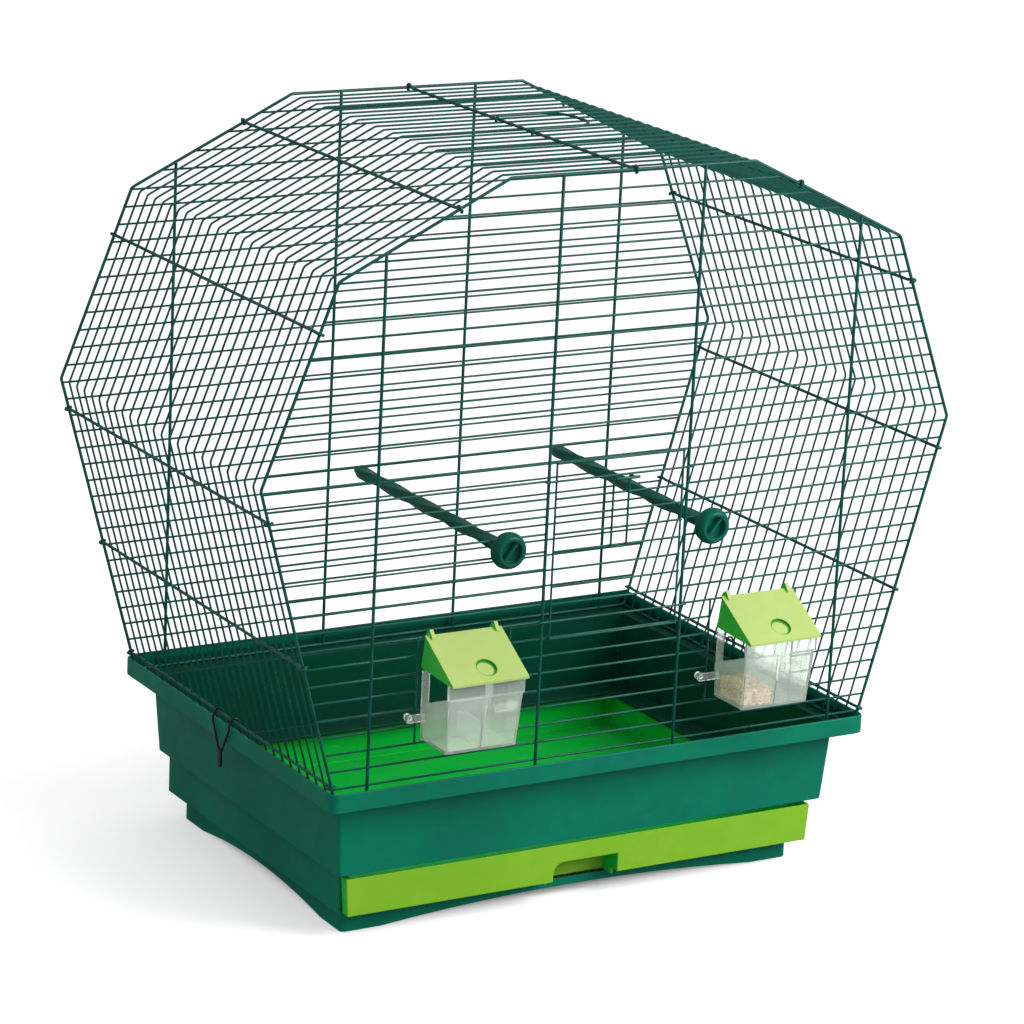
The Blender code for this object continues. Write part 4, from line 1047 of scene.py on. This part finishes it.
@dataclass
class Feeder:
    """A clear cup with two compartments, its hinged hood, and the seed in the compartment on the left."""

    side: Side
    holds_seed: bool = False
    cup_edge: float = 0.0004
    hood_edge: float = 0.0003
    seed_middle: float = 0.1020  # on the right side, where the seed is
    seed_half_width: float = 0.0112
    seed_floor: float = 0.0289
    seed_top: float = 0.0410
    seed_front: float = -0.1806
    seed_back: float = -0.1500
    seed_length: float = 0.0013
    seed_width: float = 0.0009
    seed_step: float = 1.5  # from husk to husk, in lengths of a husk
    seed_layer: float = 0.92  # from layer to layer, in steps
    seed_jitter: float = 0.25  # in steps
    seed_tilt: float = 0.6  # in radians
    seed_slump: float = 0.0022
    seed_waves: tuple[float, float] = (0.9, 0.5)  # of the slump, in radians to the step
    seed_key: int = 11
    # Place along a husk and width there, as shares of half its size.
    husk: Pairs = ((-1.0, 0.15), (-0.6, 0.8), (0.0, 1.0), (0.6, 0.8), (1.0, 0.15))
    husk_sides: int = 6

    def build(self) -> None:
        """Builds the cup, the hood and any seed."""
        word = self.side.word
        soften(f"{word}_feeder_cup", f"{word}_cup_moulding", self.cup_edge, f"{word}_cup", Slot.CUP,
               edge_finish=CUP_EDGE_HIGHLIGHT)
        soften(f"{word}_feeder_lid", f"{word}_hood_moulding", self.hood_edge, f"{word}_lid", Slot.LID,
               merged=False)
        if self.holds_seed:
            self.seed_heap()

    def seed_heap(self) -> None:
        """Builds the seed: husks packed along the heap's sides and over its top."""
        draw = random.Random(self.seed_key)
        shaper = Shaper()
        step = self.seed_length * self.seed_step
        wide = self.seed_half_width - self.seed_length
        long = self.seed_back - self.seed_front - 2 * self.seed_length
        across = round(2 * self.seed_half_width / step)
        deep = round((self.seed_back - self.seed_front) / step)
        tall = round((self.seed_top - self.seed_floor) / step)
        for i in range(across + 1):
            for j in range(deep + 1):
                for k in range(tall + 1):
                    if 0 < i < across and 0 < j < deep and k < tall:
                        continue
                    jitter = Vector([draw.uniform(-self.seed_jitter, self.seed_jitter) * step
                                     for _ in range(3)])
                    wave = math.sin(i * self.seed_waves[0]) * math.cos(j * self.seed_waves[1])
                    slump = self.seed_slump * wave if k == tall else 0.0
                    rise = step * k * self.seed_layer - abs(slump)
                    place = Vector((self.seed_middle + (2 * i / across - 1) * wide,
                                    self.seed_front + self.seed_length + long * j / deep,
                                    self.seed_floor + self.seed_length + rise))
                    self._husk(shaper, place + jitter, draw)
        word = self.side.word
        shaper.piece(f"{word}_seed", f"{word}_cup", Slot.CUP, sharp=180, finish=HUSK)

    def _husk(self, shaper: Shaper, place: Vector, draw: random.Random) -> None:
        """Adds one husk, a small pointed oval.

        Args:
            shaper: The mesh that it goes into.
            place: Its middle.
            draw: The source of its random turn.
        """
        heading = Matrix.Rotation(draw.uniform(0, math.pi), 3, "Z")
        turn = heading @ Matrix.Rotation(draw.uniform(-self.seed_tilt, self.seed_tilt), 3, "Y")
        shaper.loft([[place + turn @ Vector((
            along * self.seed_length, width * self.seed_width * math.cos(angle),
            width * self.seed_width * math.sin(angle))) for angle in circle(self.husk_sides)]
                     for along, width in self.husk])


@dataclass
class Perch:
    """A twisted square perch and the domed knob that holds it from outside."""

    side: Side
    x: float
    z: float = 0.1520
    # Y and radius of the neck and the shoulder, from the front.
    collar: Pairs = ((-0.1567, 0.0028), (-0.1561, 0.0035), (-0.1506, 0.0035), (-0.1506, 0.0062),
                     (-0.1502, 0.0066), (-0.1474, 0.0066), (-0.1466, 0.0054))
    collar_sides: int = 32
    overlap: float = 0.001  # how far the bar reaches into the shoulder
    end: float = 0.0492
    half: float = 0.0037  # half the bar's width
    corner: float = 0.0011
    corner_cut: float = 0.3  # how far in the corner's middle lies, as a share of the corner
    hollow: float = 0.00025  # how far the bar's sides are hollow
    quarter_turn: float = 0.0450  # length over which the bar turns by 90 degrees
    quarter_steps: int = 20
    tip_rings: Pairs = ((0.0010, 0.97), (0.0018, 0.86), (0.0025, 0.62))
    knob_back: float = -0.1530
    knob_radius: float = 0.0125
    knob_sides: int = 48
    bore: float = 0.0038
    bore_depth: float = 0.0040
    recess_radius: float = 0.0076
    # Half of the finger rib's section, from its foot to its crown, measured from the knob's back.
    rib: Pairs = ((-0.0015, -0.0050), (-0.0012, -0.0082), (-0.00072, -0.0088))
    rib_reach: float = 0.0080
    rib_slant: float = 50.0
    # Depth from the knob's back, and how much smaller than its radius or the recess's the profile is there.
    dome: Pairs = ((0.0, 0.0022), (0.0006, 0.0012), (0.0018, 0.0004), (0.0040, 0.0), (0.0058, 0.0002),
                   (0.0076, 0.0008), (0.0090, 0.0017), (0.0097, 0.0025), (0.0100, 0.0031))
    recess: Pairs = ((0.0097, 0.0), (0.0062, 0.0003), (0.0055, 0.0010))

    def square_ring(self, y: float, turn: float, scale: float = 1.0) -> list[Vector]:
        """A ring of the square section, with rounded corners and slightly hollow sides.

        Args:
            y: Its place along the perch.
            turn: Its turn, in radians.
            scale: Its size, as a share of the perch's.

        Returns:
            The ring's points.
        """
        near = self.half - self.corner
        bevelled = self.half - self.corner * self.corner_cut
        ring = []
        corner = ((self.half - self.hollow, 0.0), (self.half, near), (bevelled, bevelled), (near, self.half))
        for start in (turn + quarter * math.pi / 2 for quarter in range(4)):
            for a, b in corner:
                u, v = a * scale, b * scale
                ring.append(Vector((self.x + u * math.cos(start) - v * math.sin(start), y,
                                    self.z + u * math.sin(start) + v * math.cos(start))))
        return ring

    def build_bar(self) -> None:
        """Builds the bar with its neck and shoulder."""
        shaper = Shaper()
        shaper.lathe(self.x, self.z, self.collar, self.collar_sides)
        back = self.collar[-1][0]
        start = back - self.overlap
        tip = self.end - self.tip_rings[-1][0]
        steps = round((tip - start) / self.quarter_turn * self.quarter_steps)
        per_metre = math.pi / 2 / self.quarter_turn
        places = [start + (tip - start) * step / steps for step in range(steps + 1)]
        rings = [self.square_ring(y, per_metre * (y - back)) for y in places]
        last = per_metre * (tip - back)
        rings += [self.square_ring(tip + along, last, scale) for along, scale in self.tip_rings]
        shaper.loft(rings)
        word = self.side.word
        shaper.piece(f"{word}_perch_bar", "wire_top", Slot.PERCH, f"{word}_perch", sharp=50)

    def build_knob(self) -> None:
        """Builds the knob, its bore and the finger rib across its hollow face."""
        shaper = Shaper()
        back = self.knob_back
        profile = [(back - self.bore_depth, self.bore), (back, self.bore)]
        profile += [(back - depth, self.knob_radius - inset) for depth, inset in self.dome]
        profile += [(back - depth, self.recess_radius - inset) for depth, inset in self.recess]
        shaper.lathe(self.x, self.z, profile, self.knob_sides)
        slant = math.radians(self.rib_slant)
        along = Vector((math.cos(slant), 0, math.sin(slant)))
        beside = Vector((-math.sin(slant), 0, math.cos(slant)))
        middle = Vector((self.x, back, self.z))
        shaper.loft([[middle + along * end + beside * u + Vector((0, v, 0)) for u, v in mirrored(self.rib, 0)]
                     for end in (-self.rib_reach, self.rib_reach)])
        word = self.side.word
        shaper.piece(f"{word}_knob_moulding", f"{word}_knob", Slot.PERCH, f"{word}_perch_knob", sharp=35)


@dataclass
class SideClip:
    """The spring wire clip at the middle of a side, with its flattened finger tab."""

    side: Side
    pivot_x: float = 0.20732
    pivot_z: float = 0.0040
    wire: float = 0.0008
    curl: float = 0.00252
    curl_turn: tuple[float, float] = (215.0, 5.0)
    span: float = 0.01214
    leg_x: float = 0.2116
    knee_z: float = -0.0016
    knee_bend: float = 0.002
    foot_span: float = 0.0024
    foot_z: float = -0.0190
    # Half of the finger tab's outline, as Y and height, from its top.
    tab: Pairs = ((-0.001875, -0.0178), (-0.0025, -0.0210), (-0.0025, -0.0294), (-0.0015, -0.0310))
    tab_middle: float = -0.0250
    # Place in the tab's thickness, and shares of its width and height there.
    tab_rings: tuple[Triple, ...] = ((-0.0007, 0.88, 0.988), (-0.000525, 1.0, 1.0), (0.000525, 1.0, 1.0),
                                     (0.0007, 0.88, 0.988))

    def build(self) -> None:
        """Builds the clip."""
        shaper = Shaper()
        hand = self.side.value
        y = -self.span
        curl = arc((self.pivot_x, y, self.pivot_z), self.curl, *self.curl_turn, steps=9)
        leg = [(self.leg_x, y, self.pivot_z - self.curl), (self.leg_x, y, self.knee_z),
               (self.leg_x, -self.foot_span, self.foot_z)]
        path = mirrored(curl + rounded([curl[-1], *leg], self.knee_bend)[1:], 1)
        shaper.wire([(hand * p.x, p.y, p.z) for p in path], self.wire, THICK_SIDES)
        shaper.loft([[(hand * (self.leg_x + x), y * wide, self.tab_middle + (z - self.tab_middle) * high)
                      for y, z in mirrored(self.tab, 0)] for x, wide, high in self.tab_rings])
        word = self.side.word
        shaper.piece(f"{word}_clip_wire", f"{word}_latch", Slot.CLIP, f"{word}_clip")


@dataclass
class CarryHandle:
    """The bail on the roof, which turns on the middle cross wire."""

    wire: float = 0.0010
    curl: float = 0.00272
    curl_turn: tuple[float, float] = (-135.0, -270.0)
    span: float = 0.0243
    reach: float = 0.0490
    corner: float = 0.0180

    def build(self) -> None:
        """Builds the handle."""
        shaper = Shaper()
        y = -self.span
        curl = arc((0, y, SHAPE.roof_z), self.curl, *self.curl_turn, steps=8)
        centre = (self.reach - self.corner, y + self.corner, SHAPE.roof_z + self.curl)
        half = curl + arc(centre, self.corner, 0, 90, steps=9, u=(0, -1, 0), v=(1, 0, 0))
        shaper.wire(mirrored(half, 1), self.wire, THICK_SIDES)
        shaper.piece("carry_handle_wire", "handle", Slot.WIRE, "carry_handle")


# ---- Studio ----


@dataclass
class Studio:
    """A plain pale floor, soft light and the photograph's camera."""

    camera_place: Triple = (-1.38972, -2.31789, 1.01994)
    right: Triple = (0.863395229, -0.502504098, 0.045147656)
    down: Triple = (-0.101267734, -0.26026727, -0.960211328)
    ahead: Triple = (0.494260584, 0.824469878, -0.27560097)
    focal_px: float = 4074.3647
    frame_px: float = 1024.0
    sensor_mm: float = 36.0
    sky: float = 0.84
    mirrored_sky: float = 0.40
    key_place: Triple = (0.80, -1.05, 0.95)
    key_aim: Triple = (0.0, 0.0, 0.2)
    key_power: float = 25.0
    key_width: float = 0.9
    floor_size: float = 14.0
    floor_segments: int = 8
    floor_place: Triple = (0.0, 3.0, -0.0002)
    floor_glow: float = 0.40
    floor_tone: float = 0.80
    floor_bounce: float = 0.30
    floor_roughness: float = 0.85
    speck_scale: float = 220.0
    speck_tone: float = 0.985  # share of the floor's tone that its darkest specks keep
    far_clip: float = 50.0
    # Painted shadow: the floor doesn't glow under the cage. The middle and half size of that patch, and its
    # soft edge.
    footprint_middle: tuple[float, float] = (0.0, 0.018)
    footprint_half: tuple[float, float] = (0.176, 0.116)
    footprint_edge: float = 0.020

    def build(self) -> None:
        """Builds the floor, the world, the lamp and the camera."""
        self._floor()
        self._world()
        self._lamp()
        self._camera()
        bpy.context.scene.view_settings.view_transform = "Standard"

    @staticmethod
    def _seen(graph: Graph) -> tuple[Socket, Socket]:
        """Tells which rays meet a surface.

        Args:
            graph: The graph that needs it.

        Returns:
            A mask of what is seen directly or through glass, and one of what is seen in a reflection.
        """
        path = graph.add("ShaderNodeLightPath").outputs
        seen = graph.maths("MAXIMUM", path["Is Camera Ray"], path["Is Transmission Ray"])
        return seen, path["Is Glossy Ray"]

    def _floor(self) -> None:
        """A pale floor that the camera sees as white where nothing shades it."""
        mesh = bmesh.new()
        bmesh.ops.create_grid(mesh, x_segments=self.floor_segments, y_segments=self.floor_segments,
                              size=self.floor_size)
        data = bpy.data.meshes.new("floor")
        mesh.to_mesh(data)
        mesh.free()
        floor = add_object("floor", data)
        floor.location = self.floor_place
        graph = MaterialGraph("floor_pale")
        seen, _ = self._seen(graph)
        tone = graph.remap(seen, 0.0, 1.0, self.floor_bounce, self.floor_tone)
        speck = graph.remap(graph.noise(graph.place, self.speck_scale, 3.0), 0.3, 0.7, self.speck_tone, 1.0)
        shader = graph.shader
        graph.link(graph.product(tone, speck), shader.inputs["Base Color"])
        shader.inputs["Roughness"].default_value = self.floor_roughness
        shader.inputs["Specular IOR Level"].default_value = 0.0
        # Painted shadow under the cage: the glow is taken away there, so the floor is darker.
        outside = [graph.remap(graph.maths("ABSOLUTE", graph.maths("SUBTRACT", place, middle)),
                               half - self.footprint_edge, half)
                   for place, middle, half in zip(graph.surface("Position"), self.footprint_middle,
                                                  self.footprint_half)]
        open_floor = graph.product(graph.maths("MAXIMUM", *outside), self.floor_glow)
        glow = graph.add("ShaderNodeEmission", {"Strength": graph.product(seen, open_floor)})
        both = graph.add("ShaderNodeAddShader", {0: shader.outputs[0], 1: glow.outputs[0]})
        graph.link(both.outputs[0], graph.tree.nodes["Material Output"].inputs["Surface"])
        data.materials.append(graph.made)

    def _world(self) -> None:
        """An even pale sky, white where it is seen."""
        world = bpy.data.worlds.new("studio")
        bpy.context.scene.world = world
        world.use_nodes = True
        graph = Graph(world.node_tree)
        seen, mirrored = self._seen(graph)
        strength = graph.maths("MAXIMUM", seen, graph.remap(mirrored, 0.0, 1.0, self.sky, self.mirrored_sky))
        back = graph.tree.nodes["Background"]
        back.inputs["Color"].default_value = (1.0, 1.0, 1.0, 1.0)
        graph.link(strength, back.inputs["Strength"])

    def _lamp(self) -> None:
        """One broad key light from above, before and to the right, near enough to fall off to the left."""
        lamp = bpy.data.lights.new("key", "AREA")
        lamp.energy = self.key_power
        lamp.size = self.key_width
        key = add_object("key", lamp)
        key.location = self.key_place
        key.rotation_euler = (Vector(self.key_aim) - key.location).to_track_quat("-Z", "Y").to_euler()
        key.visible_camera = False

    def _camera(self) -> None:
        """The camera, fitted to the corners of the wire outline in the photograph."""
        lens = bpy.data.cameras.new("camera")
        lens.sensor_width = self.sensor_mm
        lens.lens = self.focal_px * self.sensor_mm / self.frame_px
        lens.clip_end = self.far_clip
        camera = add_object("camera", lens)
        turn = Matrix((self.right, [-v for v in self.down], [-v for v in self.ahead])).transposed().to_4x4()
        turn.translation = self.camera_place
        camera.matrix_world = turn
        bpy.context.scene.camera = camera


def main() -> None:
    """Builds the cage's looks, lowest pieces first, and the studio round it."""
    logging.basicConfig(level=logging.INFO, format="%(name)s: %(message)s")
    Mouldings().build()
    EndPanel("front_panel", -SHAPE.panel_y, -1, True).build()
    EndPanel("back_panel", SHAPE.panel_y, 1, False).build()
    WireWrap().build()
    SlidingDoor().build()
    for side, perch_x in ((Side.LEFT, -0.0857), (Side.RIGHT, 0.0719)):
        Feeder(side, holds_seed=side is Side.RIGHT).build()
        perch = Perch(side, perch_x)
        perch.build_bar()
        perch.build_knob()
        SideClip(side).build()
    CarryHandle().build()
    Studio().build()


if __name__ == "__main__":
    main()
